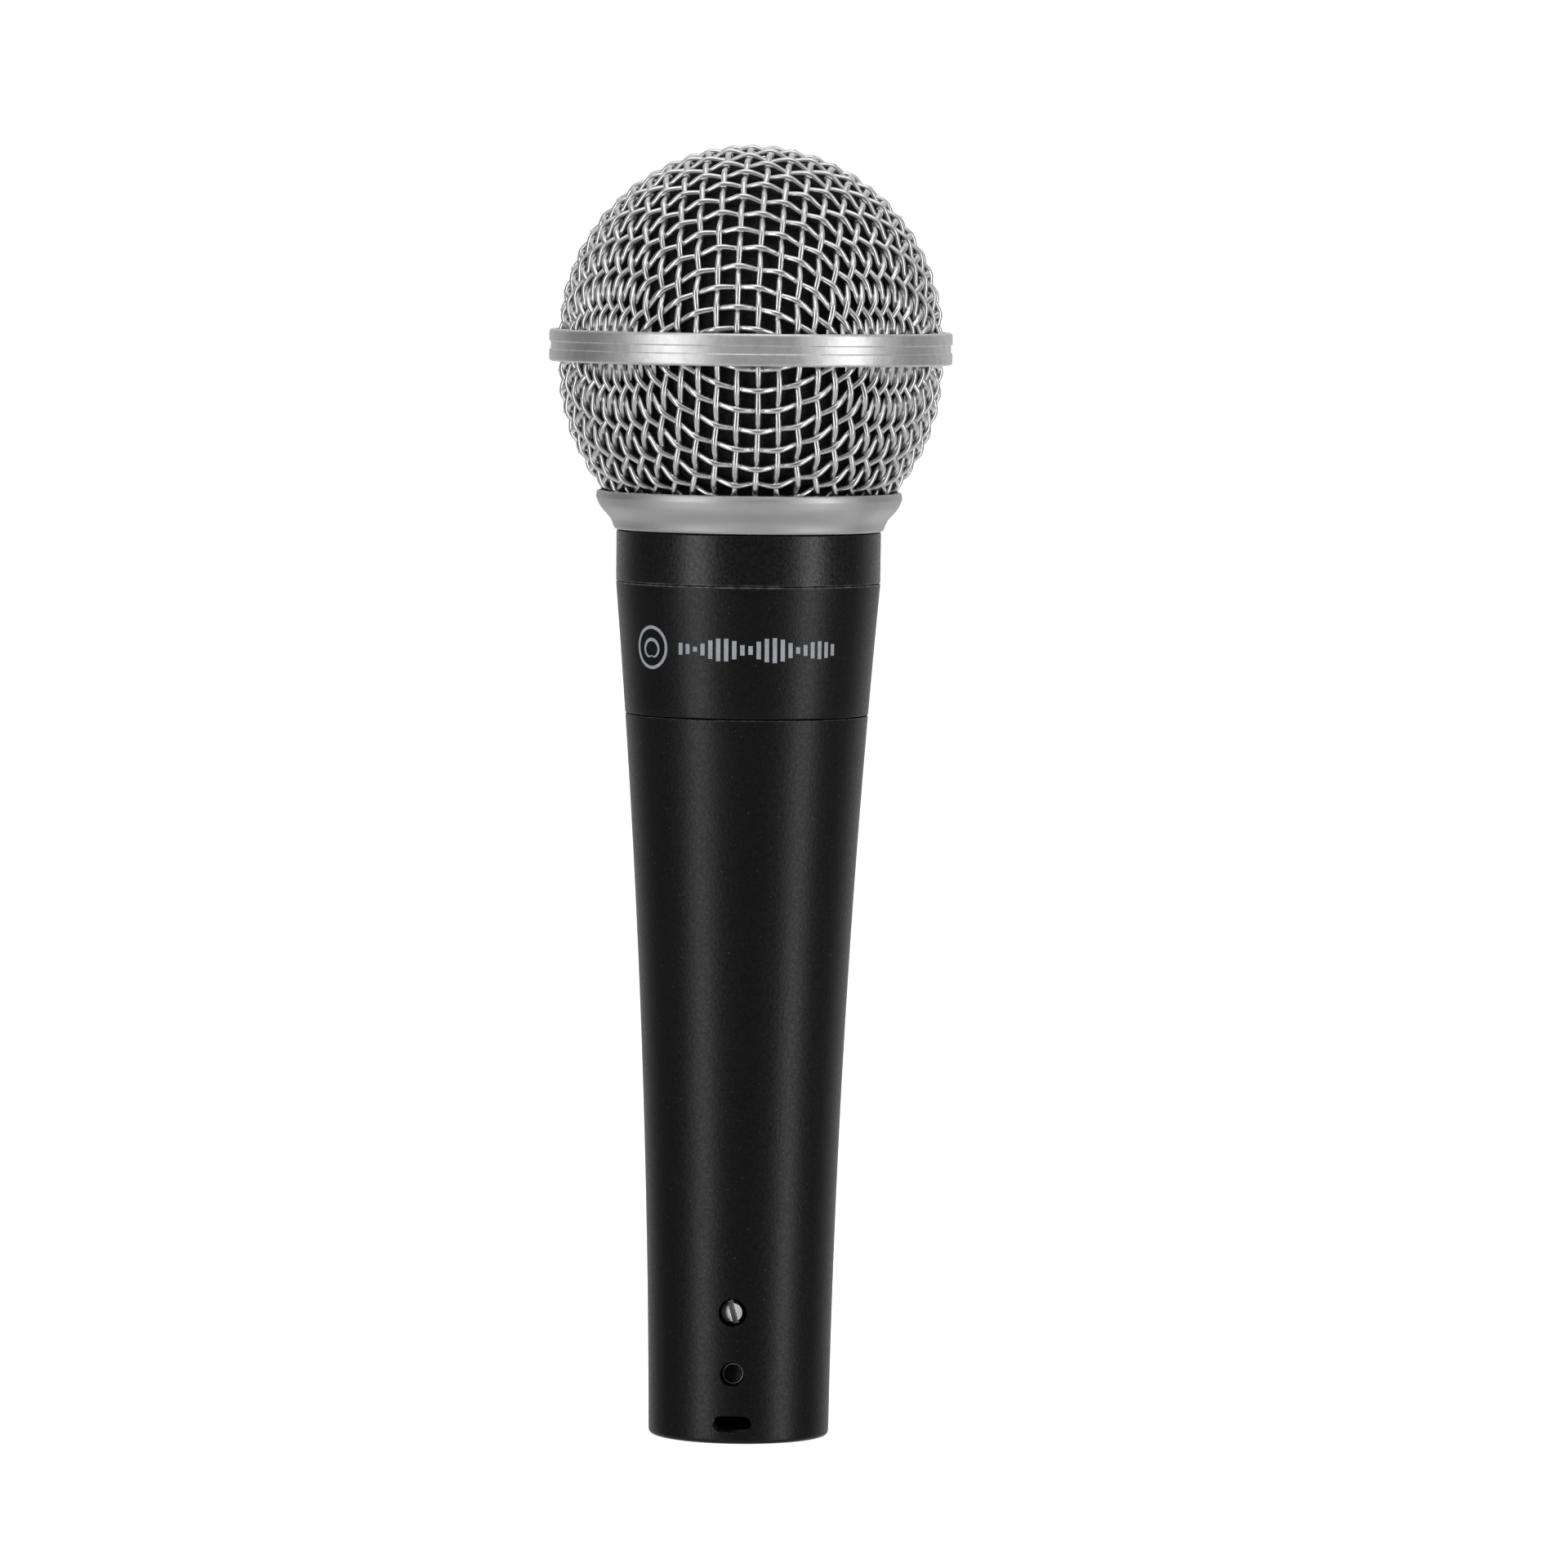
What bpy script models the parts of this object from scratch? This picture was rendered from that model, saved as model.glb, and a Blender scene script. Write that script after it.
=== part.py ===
"""Handheld dynamic vocal microphone, built as an assembly of separate pieces.

Frame: +Z runs up the microphone's axis, and the origin is the centre of the handle's lower rim.
The side with the set screw and the latch window faces -Y.
Every dimension in this file is in millimetres; the helper functions turn them into Blender's metres.
"""

import math

import bmesh
import bpy
from mathutils import Matrix, Vector

MM = 0.001
OUTER_STEPS = 48  # facets round the pieces that show
INNER_STEPS = 24  # facets round the pieces inside
CLOTH_STEPS = 32  # facets round the skins of the wire cloth
HOLE_STEPS = 12
AXIS_MERGE = 1e-5  # metres: closes a turned solid at the axis
CUT_OVERSHOOT = 1.0  # how far a cutter runs past the wall that it cuts

# Fits
GAP = 0.3  # between pieces that rest on each other
SLIP = 0.15  # radial, between concentric pieces

# Handle: the outside is a parabola from the lower rim up to the neck ring
END_RADIUS = 11.44
NECK_RADIUS = 16.75
TAPER_LENGTH = 108.45
TAPER_SLOPE = 0.0107  # at the lower rim
HANDLE_WALL = 2.3
RIM_ROUNDING = 0.6
SEAM_Z = 91.75  # where the upper handle screws into the main handle
NECK_RING_TOP = 114.85

# Screw thread between the main and the upper handle, drawn as plain cylinders
HANDLE_THREAD_RADIUS = 13.3
HANDLE_SPIGOT_LENGTH = 6.0

# Neck that the grille screws on to
NECK_SPIGOT_RADIUS = 15.1
NECK_SPIGOT_TOP = 119.4
NECK_BORE = 13.4

# Grille: a dome and a bowl of wire cloth, a band round the middle and a flared collar
DOME_RADIUS = 24.4
DOME_CENTRE_Z = 139.3
BOWL_CENTRE_Z = 135.55  # the bowl is part of a sphere of the same radius
CLOTH_SKIN = 0.4  # a solid skin that weighs what the wire cloth weighs
CLOTH_DEPTH = 1.35  # the woven cloth is two wires deep
BAND_RADIUS = 25.5
BAND_HEIGHT = 4.1
BAND_CENTRE_Z = 138.15
BAND_GROOVE = (1.1, 0.2)  # width and depth
COLLAR_BOTTOM = 115.0
COLLAR_TOP = 119.9
COLLAR_BORE = 15.5
# The collar's flare, as heights above its foot and radii
COLLAR_FLARE = (
    (0.0, 16.85),
    (0.3, 17.15),
    (0.8, 17.3),
    (1.3, 17.55),
    (1.8, 17.95),
    (2.35, 18.45),
    (2.95, 18.9),
    (3.6, 19.2),
    (4.1, 19.37),
)

# Foam windscreen
FOAM_CLEARANCE = 0.25
FOAM_THICKNESS = 2.4

# Capsule
CAPSULE_RADIUS = 12.2
CAPSULE_WALL = 1.2
CAPSULE_FLOOR_Z = 123.6
CAPSULE_RIM_Z = 134.0
STEM_RADIUS = 8.6
STEM_BOTTOM_Z = 103.0
PORT_COUNT = 8
MAGNET_BASE_Z = 125.3
YOKE_RADIUS = 9.6
YOKE_TOP_Z = 131.5
POLE_RADIUS = 6.3
COIL_INNER, COIL_OUTER = 6.65, 7.2
DIAPHRAGM_RADIUS = 10.3
FILM = 0.12

# Connector in the handle's lower end
CONNECTOR_RADIUS = 9.45
CONNECTOR_BOTTOM = 0.8
CONNECTOR_TOP = 24.0
SOCKET_RADIUS = 8.2
SOCKET_FLOOR_Z = 14.6
INSULATOR_RADIUS = 6.8
PIN_RADIUS = 1.2
PIN_CIRCLE = 3.8
PIN_TIP_Z = 2.8
PIN_TAIL_Z = 27.6
PIN_ANGLES = {"connector_pin_1": 210.0, "connector_pin_2": 330.0, "connector_pin_3": 90.0}

# Openings in the side that faces -Y
SCREW_Z = 16.65
SCREW_RADIUS = 1.5
SCREW_HOLE_RADIUS = 1.8
SCREW_OUTER_Y = -10.75
SCREW_LENGTH = 3.4
SCREW_SLOT = (0.7, 0.8)  # width and depth
SCREW_SLOT_TILT = 16.0  # degrees from upright
TEST_HOLE_Z = 8.8
TEST_HOLE_RADII = (1.55, 1.15)  # in the handle and in the connector
LATCH_Z = 2.55
LATCH_SIZE = (4.9, 2.0)

# Leads
LEAD_RADIUS = 0.55
LEAD_SIDES_RESOLUTION = 1
LUG_X = 3.2


# ---------------------------------------------------------------- helpers


def clear_scene():
    for obj in list(bpy.data.objects):
        bpy.data.objects.remove(obj)


def collection(name):
    made = bpy.data.collections.new(name)
    bpy.context.scene.collection.children.link(made)
    return made


def material(name, colour, roughness, metallic):
    made = bpy.data.materials.new(name)
    made.use_nodes = True
    shader = made.node_tree.nodes["Principled BSDF"]
    shader.inputs["Base Color"].default_value = (*colour, 1.0)
    shader.inputs["Roughness"].default_value = roughness
    shader.inputs["Metallic"].default_value = metallic
    made.diffuse_color = (*colour, 1.0)
    return made


def place(name, mesh, finish, group):
    obj = bpy.data.objects.new(name, mesh)
    if finish is not None:
        mesh.materials.append(finish)
    group.objects.link(obj)
    return obj


def arc(centre, radius, start, end, count):
    """Points (r, z) on a circular arc, by angle in degrees from the outward direction."""
    points = []
    for i in range(count):
        angle = math.radians(start + (end - start) * i / (count - 1))
        points.append((centre[0] + radius * math.cos(angle), centre[1] + radius * math.sin(angle)))
    return points


def turned(name, outline, finish, group, steps=INNER_STEPS, closed=True):
    """A turned piece. The outline's points (r, z) run down the outside; an open one ends on the axis."""
    mesh = bpy.data.meshes.new(name)
    edges = [(i, i + 1) for i in range(len(outline) - 1)]
    if closed:
        edges.append((len(outline) - 1, 0))
    mesh.from_pydata([(r * MM, 0.0, z * MM) for r, z in outline], edges, [])
    obj = place(name, mesh, finish, group)
    screw = obj.modifiers.new("Turn", "SCREW")
    screw.axis = "Z"
    screw.angle = 2 * math.pi
    screw.steps = steps
    screw.render_steps = steps
    screw.use_merge_vertices = True
    screw.merge_threshold = AXIS_MERGE
    screw.use_smooth_shade = True
    return obj


def disc(name, radius, bottom, top, finish, group, steps=INNER_STEPS):
    outline = [(0, top), (radius, top), (radius, bottom), (0, bottom)]
    return turned(name, outline, finish, group, steps, closed=False)


def ring(name, inner, outer, bottom, top, finish, group, steps=INNER_STEPS):
    outline = [(outer, top), (outer, bottom), (inner, bottom), (inner, top)]
    return turned(name, outline, finish, group, steps)


def rod(name, radius, start, end, group, finish=None, steps=HOLE_STEPS):
    """A cylinder from one point to another."""
    start, end, wide = Vector(start) * MM, Vector(end) * MM, radius * MM
    mesh = bpy.data.meshes.new(name)
    shape = bmesh.new()
    bmesh.ops.create_cone(
        shape, cap_ends=True, segments=steps, radius1=wide, radius2=wide, depth=(end - start).length
    )
    shape.to_mesh(mesh)
    shape.free()
    obj = place(name, mesh, finish, group)
    obj.location = (start + end) / 2
    obj.rotation_mode = "QUATERNION"
    obj.rotation_quaternion = (end - start).to_track_quat("Z", "Y")
    return obj


def block(name, size, centre, group, finish=None):
    mesh = bpy.data.meshes.new(name)
    shape = bmesh.new()
    bmesh.ops.create_cube(shape, size=1.0)
    bmesh.ops.scale(shape, vec=Vector(size) * MM, verts=shape.verts)
    shape.to_mesh(mesh)
    shape.free()
    obj = place(name, mesh, finish, group)
    obj.location = Vector(centre) * MM
    return obj


def cut(obj, *tools):
    """Cuts each tool away from the piece."""
    for tool in tools:
        tool.hide_render = True
        tool.display_type = "WIRE"
        boolean = obj.modifiers.new("Cut " + tool.name, "BOOLEAN")
        boolean.operation = "DIFFERENCE"
        boolean.object = tool


def hole_through_front(name, radius, z, wall, group):
    """A cutter along Y through the wall between two depths."""
    return rod(name, radius, (0, wall[0], z), (0, wall[1], z), group, steps=24)


def slot_through_front(name, wall, group):
    """The latch window's cutter: a block along Y whose section is a slot with round ends."""
    width, height = LATCH_SIZE
    obj = block(name, (width, wall[1] - wall[0], height), (0, sum(wall) / 2, LATCH_Z), group)
    shape = bmesh.new()
    shape.from_mesh(obj.data)
    along_y = [e for e in shape.edges if abs((e.verts[0].co - e.verts[1].co).normalized().y) > 0.9]
    round_end = height * 0.49
    bmesh.ops.bevel(shape, geom=along_y, offset=round_end * MM, segments=5, profile=0.5, affect="EDGES")
    shape.to_mesh(obj.data)
    shape.free()
    return obj


# ---------------------------------------------------------------- handle


def taper(z):
    """The handle's outer radius at a height."""
    bulge = (NECK_RADIUS - END_RADIUS - TAPER_SLOPE * TAPER_LENGTH) / TAPER_LENGTH**2
    return END_RADIUS + TAPER_SLOPE * z + bulge * z * z


def heights(start, end, count):
    return [start + (end - start) * i / (count - 1) for i in range(count)]


def main_handle(finish, parts, cutters):
    bore = CONNECTOR_RADIUS + SLIP
    top = SEAM_Z - GAP / 2
    thread_bottom = SEAM_Z - HANDLE_SPIGOT_LENGTH - 2 * GAP
    bore_top = CONNECTOR_TOP + 3.0
    rim_chamfer = 0.4
    outside = [(taper(z), z) for z in heights(top, RIM_ROUNDING, 8)]
    lower_rim = arc((END_RADIUS - RIM_ROUNDING, RIM_ROUNDING), RIM_ROUNDING, -30, -90, 3)
    inside = [(bore + rim_chamfer, 0), (bore, rim_chamfer)]
    inside += [(taper(z) - HANDLE_WALL, z) for z in heights(bore_top, thread_bottom, 3)]
    inside += [(HANDLE_THREAD_RADIUS, thread_bottom + 0.6), (HANDLE_THREAD_RADIUS, top)]
    handle = turned("main_handle", outside + lower_rim + inside, finish, parts, OUTER_STEPS)
    wall = (-END_RADIUS - 2 * CUT_OVERSHOOT, -CONNECTOR_RADIUS + CUT_OVERSHOOT)
    cut(
        handle,
        hole_through_front("handle_screw_hole", SCREW_HOLE_RADIUS, SCREW_Z, wall, cutters),
        hole_through_front("handle_test_hole", TEST_HOLE_RADII[0], TEST_HOLE_Z, wall, cutters),
        slot_through_front("handle_latch_window", wall, cutters),
    )


def upper_handle(finish, parts):
    shoulder = TAPER_LENGTH - GAP / 2
    bottom = SEAM_Z + GAP / 2
    spigot = HANDLE_THREAD_RADIUS - GAP
    spigot_bottom = SEAM_Z - HANDLE_SPIGOT_LENGTH
    spigot_bore = spigot - 1.7
    chamfer = 0.4
    outline = [
        (NECK_SPIGOT_RADIUS - chamfer, NECK_SPIGOT_TOP),
        (NECK_SPIGOT_RADIUS, NECK_SPIGOT_TOP - chamfer),
        (NECK_SPIGOT_RADIUS, shoulder),
    ]
    outline += [(taper(z), z) for z in heights(shoulder, bottom, 4)]
    outline += [
        (spigot, bottom),
        (spigot, spigot_bottom + chamfer),
        (spigot - chamfer, spigot_bottom),
        (spigot_bore, spigot_bottom),
        (spigot_bore, bottom + 4.0),
        (NECK_BORE, bottom + 6.5),
        (NECK_BORE, NECK_SPIGOT_TOP),
    ]
    turned("upper_handle", outline, finish, parts, OUTER_STEPS)


def neck_ring(finish, parts):
    bottom = TAPER_LENGTH + GAP / 2
    edge = 0.25
    outline = [
        (NECK_RADIUS - edge, NECK_RING_TOP),
        (NECK_RADIUS, NECK_RING_TOP - edge),
        (NECK_RADIUS, bottom),
        (NECK_SPIGOT_RADIUS + SLIP, bottom),
        (NECK_SPIGOT_RADIUS + SLIP, NECK_RING_TOP),
    ]
    turned("neck_ring", outline, finish, parts, OUTER_STEPS)


# ---------------------------------------------------------------- grille


def bowl_radius(z, inset=0.0):
    """Radius of the bowl's outside at a height, or of a surface that far inside it."""
    return math.sqrt((DOME_RADIUS - inset) ** 2 - (BOWL_CENTRE_Z - z) ** 2)


def dome_outline(outer, thickness, bottom, count):
    """A dome open below, round the grille's centre."""
    inner = outer - thickness
    start = math.degrees(math.asin((bottom - DOME_CENTRE_Z) / outer))
    end = math.degrees(math.asin((bottom - DOME_CENTRE_Z) / inner))
    centre = (0, DOME_CENTRE_Z)
    return arc(centre, outer, 90, start, count) + arc(centre, inner, end, 90, count)


def bowl_outline(inset, thickness, bottom, top, count):
    outside = [(bowl_radius(z, inset), z) for z in heights(top, bottom, count)]
    inside = [(bowl_radius(z, inset + thickness), z) for z in heights(bottom, top, count)]
    return outside + inside


def wire_cloth(finish, parts):
    """The woven dome and bowl, as skins on the cloth's outside; their edges meet inside the band."""
    dome = dome_outline(DOME_RADIUS, CLOTH_SKIN, BAND_CENTRE_Z + GAP / 2, 9)
    turned("mesh_dome", dome, finish, parts, CLOTH_STEPS, closed=False)
    bowl = bowl_outline(0, CLOTH_SKIN, COLLAR_TOP - 1.2, BAND_CENTRE_Z - GAP / 2, 7)
    turned("mesh_bowl", bowl, finish, parts, CLOTH_STEPS)


def grille_band(finish, parts):
    """Rolled ring with two rounded rims and a shallow groove between them."""
    bottom, top = BAND_CENTRE_Z - BAND_HEIGHT / 2, BAND_CENTRE_Z + BAND_HEIGHT / 2
    inner = DOME_RADIUS + 0.2
    groove_width, groove_depth = BAND_GROOVE
    groove_top, groove_bottom = BAND_CENTRE_Z + groove_width / 2, BAND_CENTRE_Z - groove_width / 2
    edge = 0.4
    outline = arc((BAND_RADIUS - edge, top - edge), edge, 90, 0, 3)
    outline += [
        (BAND_RADIUS, groove_top),
        (BAND_RADIUS - groove_depth, groove_top),
        (BAND_RADIUS - groove_depth, groove_bottom),
        (BAND_RADIUS, groove_bottom),
    ]
    outline += arc((BAND_RADIUS - edge, bottom + edge), edge, 0, -90, 3)
    outline += [(inner, bottom), (inner, top)]
    turned("grille_band", outline, finish, parts, OUTER_STEPS)


def grille_collar(finish, parts):
    """Flared ring that the bowl sits in, with the bore that screws on to the neck."""
    lip = COLLAR_FLARE[-1][1]
    seat_z = COLLAR_TOP - 1.7
    outline = [(lip - 0.35, COLLAR_TOP), (lip - 0.08, COLLAR_TOP - 0.12), (lip, COLLAR_TOP - 0.4)]
    outline += [(radius, COLLAR_BOTTOM + height) for height, radius in reversed(COLLAR_FLARE)]
    outline += [
        (COLLAR_BORE, COLLAR_BOTTOM),
        (COLLAR_BORE, seat_z),
        (bowl_radius(seat_z) + 0.2, seat_z),
    ]
    turned("grille_collar", outline, finish, parts, OUTER_STEPS)


def foam_windscreen(finish, parts):
    """Two linings of open foam: a dome, and a skirt inside the bowl."""
    inset = CLOTH_DEPTH + FOAM_CLEARANCE
    split = BAND_CENTRE_Z - 0.4
    dome = dome_outline(DOME_RADIUS - inset, FOAM_THICKNESS, split + GAP / 2, 7)
    turned("foam_dome", dome, finish, parts, INNER_STEPS, closed=False)
    skirt = bowl_outline(inset, FOAM_THICKNESS - 0.4, COLLAR_TOP + 1.2, split - GAP / 2, 5)
    turned("foam_skirt", skirt, finish, parts, INNER_STEPS)


# ---------------------------------------------------------------- capsule


def capsule_housing(finish, parts, cutters):
    """Cup for the motor with a hollow stem below it, and sound ports round its foot."""
    bore = CAPSULE_RADIUS - CAPSULE_WALL
    stem_bore = STEM_RADIUS - CAPSULE_WALL
    outline = [
        (CAPSULE_RADIUS, CAPSULE_RIM_Z),
        (CAPSULE_RADIUS, CAPSULE_FLOOR_Z),
        (STEM_RADIUS, CAPSULE_FLOOR_Z),
        (STEM_RADIUS, STEM_BOTTOM_Z),
        (stem_bore, STEM_BOTTOM_Z),
        (stem_bore, MAGNET_BASE_Z - GAP),
        (bore, MAGNET_BASE_Z - GAP),
        (bore, CAPSULE_RIM_Z),
    ]
    housing = turned("capsule_housing", outline, finish, parts)
    port_z = MAGNET_BASE_Z + 1.6
    for i in range(PORT_COUNT):
        angle = 2 * math.pi * (i + 0.5) / PORT_COUNT
        port = block(f"port_{i + 1}", (3 * CAPSULE_WALL, 2.6, 1.6), (0, 0, 0), cutters)
        reach = CAPSULE_RADIUS - CAPSULE_WALL / 2
        port.location = Vector((reach * math.cos(angle), reach * math.sin(angle), port_z)) * MM
        port.rotation_euler = (0, 0, angle)
        cut(housing, port)


def capsule_cap(finish, parts, cutters):
    """Shallow domed cap over the diaphragm, with one hole in the middle and six round it."""
    rim_z = CAPSULE_RIM_Z + GAP
    crown, plate = rim_z + 2.9, 1.2
    seat = CAPSULE_RADIUS - CAPSULE_WALL
    outline = [
        (0, crown),
        (seat * 0.6, crown - 0.25),
        (seat, crown - 0.9),
        (CAPSULE_RADIUS, crown - 1.7),
        (CAPSULE_RADIUS, rim_z),
        (seat, rim_z),
        (seat, crown - plate - 0.7),
        (0, crown - plate),
    ]
    cap = turned("capsule_cap", outline, finish, parts, closed=False)
    centres = [(0.0, 0.0)] + [
        (6.2 * math.cos(math.radians(60 * i)), 6.2 * math.sin(math.radians(60 * i))) for i in range(6)
    ]
    for i, (x, y) in enumerate(centres):
        below, above = (x, y, crown - 2 * plate), (x, y, crown + CUT_OVERSHOOT)
        cut(cap, rod(f"cap_hole_{i}", 1.5, below, above, cutters))


def motor(steel, magnet, plastic, parts):
    """Yoke cup, magnet and pole plate, which leave the ring-shaped gap that the coil moves in."""
    floor = MAGNET_BASE_Z + 1.6
    bore = COIL_OUTER + 0.4
    yoke = [
        (YOKE_RADIUS, YOKE_TOP_Z),
        (YOKE_RADIUS, MAGNET_BASE_Z),
        (0, MAGNET_BASE_Z),
        (0, floor),
        (bore, floor),
        (bore, YOKE_TOP_Z),
    ]
    turned("yoke_cup", yoke[3:] + yoke[:3], steel, parts, closed=False)
    plate_bottom = YOKE_TOP_Z - 1.3
    disc("magnet", POLE_RADIUS - 0.6, floor + 0.1, plate_bottom - 0.1, magnet, parts)
    disc("pole_plate", POLE_RADIUS, plate_bottom, YOKE_TOP_Z, steel, parts)
    spacer_outer = CAPSULE_RADIUS - CAPSULE_WALL - SLIP
    ring("motor_spacer", YOKE_RADIUS + SLIP, spacer_outer, YOKE_TOP_Z - 2.7, YOKE_TOP_Z, plastic, parts)
    clamp = (YOKE_TOP_Z + 0.2, YOKE_TOP_Z + 2.0)
    ring("diaphragm_ring", DIAPHRAGM_RADIUS + SLIP, spacer_outer, *clamp, plastic, parts)


def diaphragm(film, copper, parts):
    """Thin film with a domed middle and a rolled surround, and the coil that hangs from it."""
    rest = YOKE_TOP_Z + 1.0
    dome = []
    for degrees in (0, 25, 50, 72, 90):
        angle = math.radians(degrees)
        dome.append((COIL_OUTER * math.sin(angle), rest + 0.9 * math.cos(angle)))
    surround = [(8.1, rest + 0.45), (9.0, rest + 0.6), (9.8, rest + 0.3), (DIAPHRAGM_RADIUS, rest)]
    top = dome + surround
    bottom = [(r, z - FILM) for r, z in reversed(top)]
    turned("diaphragm", top + bottom, film, parts, closed=False)
    ring("voice_coil", COIL_INNER, COIL_OUTER, YOKE_TOP_Z - 2.1, rest - FILM - 0.15, copper, parts)


def capsule_small_parts(cloth, board, metal, parts):
    """Cloth screen under the cap, felt in the stem, and the board that the leads are soldered to."""
    screen_z = CAPSULE_RIM_Z + 2 * GAP
    disc("cap_screen", CAPSULE_RADIUS - CAPSULE_WALL - GAP, screen_z, screen_z + 0.35, cloth, parts)
    disc("stem_felt", STEM_RADIUS - CAPSULE_WALL - SLIP, 119.0, 120.2, cloth, parts)
    board_top = STEM_BOTTOM_Z - 0.2
    disc("terminal_board", STEM_RADIUS - 0.3, board_top - 1.0, board_top, board, parts)
    for name, x in (("solder_lug_hot", LUG_X), ("solder_lug_cold", -LUG_X)):
        block(name, (0.5, 1.8, 2.6), (x, 0, board_top - 1.0 - 0.2 - 1.3), parts, metal)


def shock_mount(rubber, parts):
    """Rubber ring that carries the capsule's stem: a body in the neck's bore and a flange over its rim."""
    body = NECK_BORE - SLIP
    flange_bottom, flange_top = NECK_SPIGOT_TOP + 0.2, NECK_SPIGOT_TOP + 1.6
    outline = [
        (NECK_SPIGOT_RADIUS - 0.8, flange_top),
        (NECK_SPIGOT_RADIUS - 0.4, flange_top - 0.5),
        (NECK_SPIGOT_RADIUS - 0.4, flange_bottom),
        (body, flange_bottom),
        (body, NECK_SPIGOT_TOP - 6.4),
        (body - 1.5, NECK_SPIGOT_TOP - 6.4),
        (body - 2.2, NECK_SPIGOT_TOP - 2.6),
        (STEM_RADIUS + GAP, NECK_SPIGOT_TOP - 2.6),
        (STEM_RADIUS + GAP, NECK_SPIGOT_TOP - 0.6),
        (body - 2.0, flange_top),
    ]
    turned("shock_mount", outline, rubber, parts)


# ---------------------------------------------------------------- connector


def pin_place(name):
    angle = math.radians(PIN_ANGLES[name])
    return PIN_CIRCLE * math.cos(angle), PIN_CIRCLE * math.sin(angle)


def connector_shell(finish, parts, cutters):
    """Cast sleeve: the socket below, and the thicker seat for the insulator and the set screw above."""
    seat_bore = INSULATOR_RADIUS + SLIP
    lip = INSULATOR_RADIUS - 0.5
    outline = [
        (CONNECTOR_RADIUS, CONNECTOR_TOP),
        (CONNECTOR_RADIUS, CONNECTOR_BOTTOM),
        (SOCKET_RADIUS + 0.3, CONNECTOR_BOTTOM),
        (SOCKET_RADIUS, CONNECTOR_BOTTOM + 0.4),
        (SOCKET_RADIUS, SOCKET_FLOOR_Z),
        (lip, SOCKET_FLOOR_Z),
        (lip, SOCKET_FLOOR_Z + 0.5),
        (seat_bore, SOCKET_FLOOR_Z + 0.5),
        (seat_bore, CONNECTOR_TOP),
    ]
    shell = turned("connector_shell", outline, finish, parts, 32)
    wall = (-CONNECTOR_RADIUS - CUT_OVERSHOOT, -INSULATOR_RADIUS + CUT_OVERSHOOT)
    cut(
        shell,
        hole_through_front("shell_screw_hole", SCREW_RADIUS + SLIP, SCREW_Z, wall, cutters),
        hole_through_front("shell_test_hole", TEST_HOLE_RADII[1], TEST_HOLE_Z, wall, cutters),
        slot_through_front("shell_latch_window", wall, cutters),
    )


def connector_insulator(finish, parts, cutters):
    """Moulded disc that the three contacts pass through."""
    boss = INSULATOR_RADIUS - 0.5 - SLIP
    shoulder = SOCKET_FLOOR_Z + 0.8
    top = CONNECTOR_TOP - 2.5
    outline = [(0, top), (INSULATOR_RADIUS, top), (INSULATOR_RADIUS, shoulder), (boss, shoulder)]
    outline += [(boss, SOCKET_FLOOR_Z), (0, SOCKET_FLOOR_Z)]
    insulator = turned("connector_insulator", outline, finish, parts, closed=False)
    for name in PIN_ANGLES:
        x, y = pin_place(name)
        below, above = (x, y, SOCKET_FLOOR_Z - 1), (x, y, CONNECTOR_TOP)
        cut(insulator, rod("hole_for_" + name, PIN_RADIUS + SLIP, below, above, cutters, steps=16))


def connector_pins(finish, parts, cutters):
    """Turned contacts with a rounded tip below and a hollow solder cup above."""
    cup_depth, cup_wall = 3.2, 0.35
    for name in PIN_ANGLES:
        x, y = pin_place(name)
        cup = PIN_RADIUS - cup_wall
        outline = [
            (0, PIN_TAIL_Z - cup_depth),
            (cup, PIN_TAIL_Z - cup_depth),
            (cup, PIN_TAIL_Z),
            (PIN_RADIUS, PIN_TAIL_Z),
        ]
        outline += arc((0, PIN_TIP_Z + PIN_RADIUS), PIN_RADIUS, 0, -90, 4)[:-1] + [(0, PIN_TIP_Z)]
        pin = turned(name, outline, finish, parts, 16, closed=False)
        pin.location = Vector((x, y, 0)) * MM
        notch = block(name + "_notch", (2 * PIN_RADIUS, 3 * PIN_RADIUS, 2.2), (0, 0, 0), cutters)
        inward = Vector((-x, -y, 0)).normalized()
        notch.location = (Vector((x, y, PIN_TAIL_Z - 0.9)) + inward * (PIN_RADIUS + 0.35)) * MM
        notch.rotation_euler = (0, 0, math.atan2(y, x))
        cut(pin, notch)


def ground_contact(finish, parts):
    """Bent strip from the first pin's tail to the handle's wall, drawn as an outline in the radial plane."""
    start = PIN_CIRCLE + PIN_RADIUS + GAP
    low, strip = CONNECTOR_TOP + GAP, 0.35
    reach, high = CONNECTOR_RADIUS - 0.2, CONNECTOR_TOP + 3.4
    corners = [
        (start, low),
        (reach, low),
        (reach, high),
        (reach - strip, high),
        (reach - strip, low + strip),
        (start, low + strip),
    ]
    curve = bpy.data.curves.new("ground_contact", "CURVE")
    curve.dimensions = "2D"
    curve.fill_mode = "BOTH"
    curve.extrude = 1.1 * MM
    spline = curve.splines.new("POLY")
    spline.points.add(len(corners) - 1)
    for point, (r, z) in zip(spline.points, corners):
        point.co = (r * MM, z * MM, 0, 1)
    spline.use_cyclic_u = True
    obj = place("ground_contact", curve, finish, parts)
    upright = Matrix.Rotation(math.radians(90), 4, "X")
    turn = Matrix.Rotation(math.radians(PIN_ANGLES["connector_pin_1"]), 4, "Z")
    obj.matrix_world = turn @ upright


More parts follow.
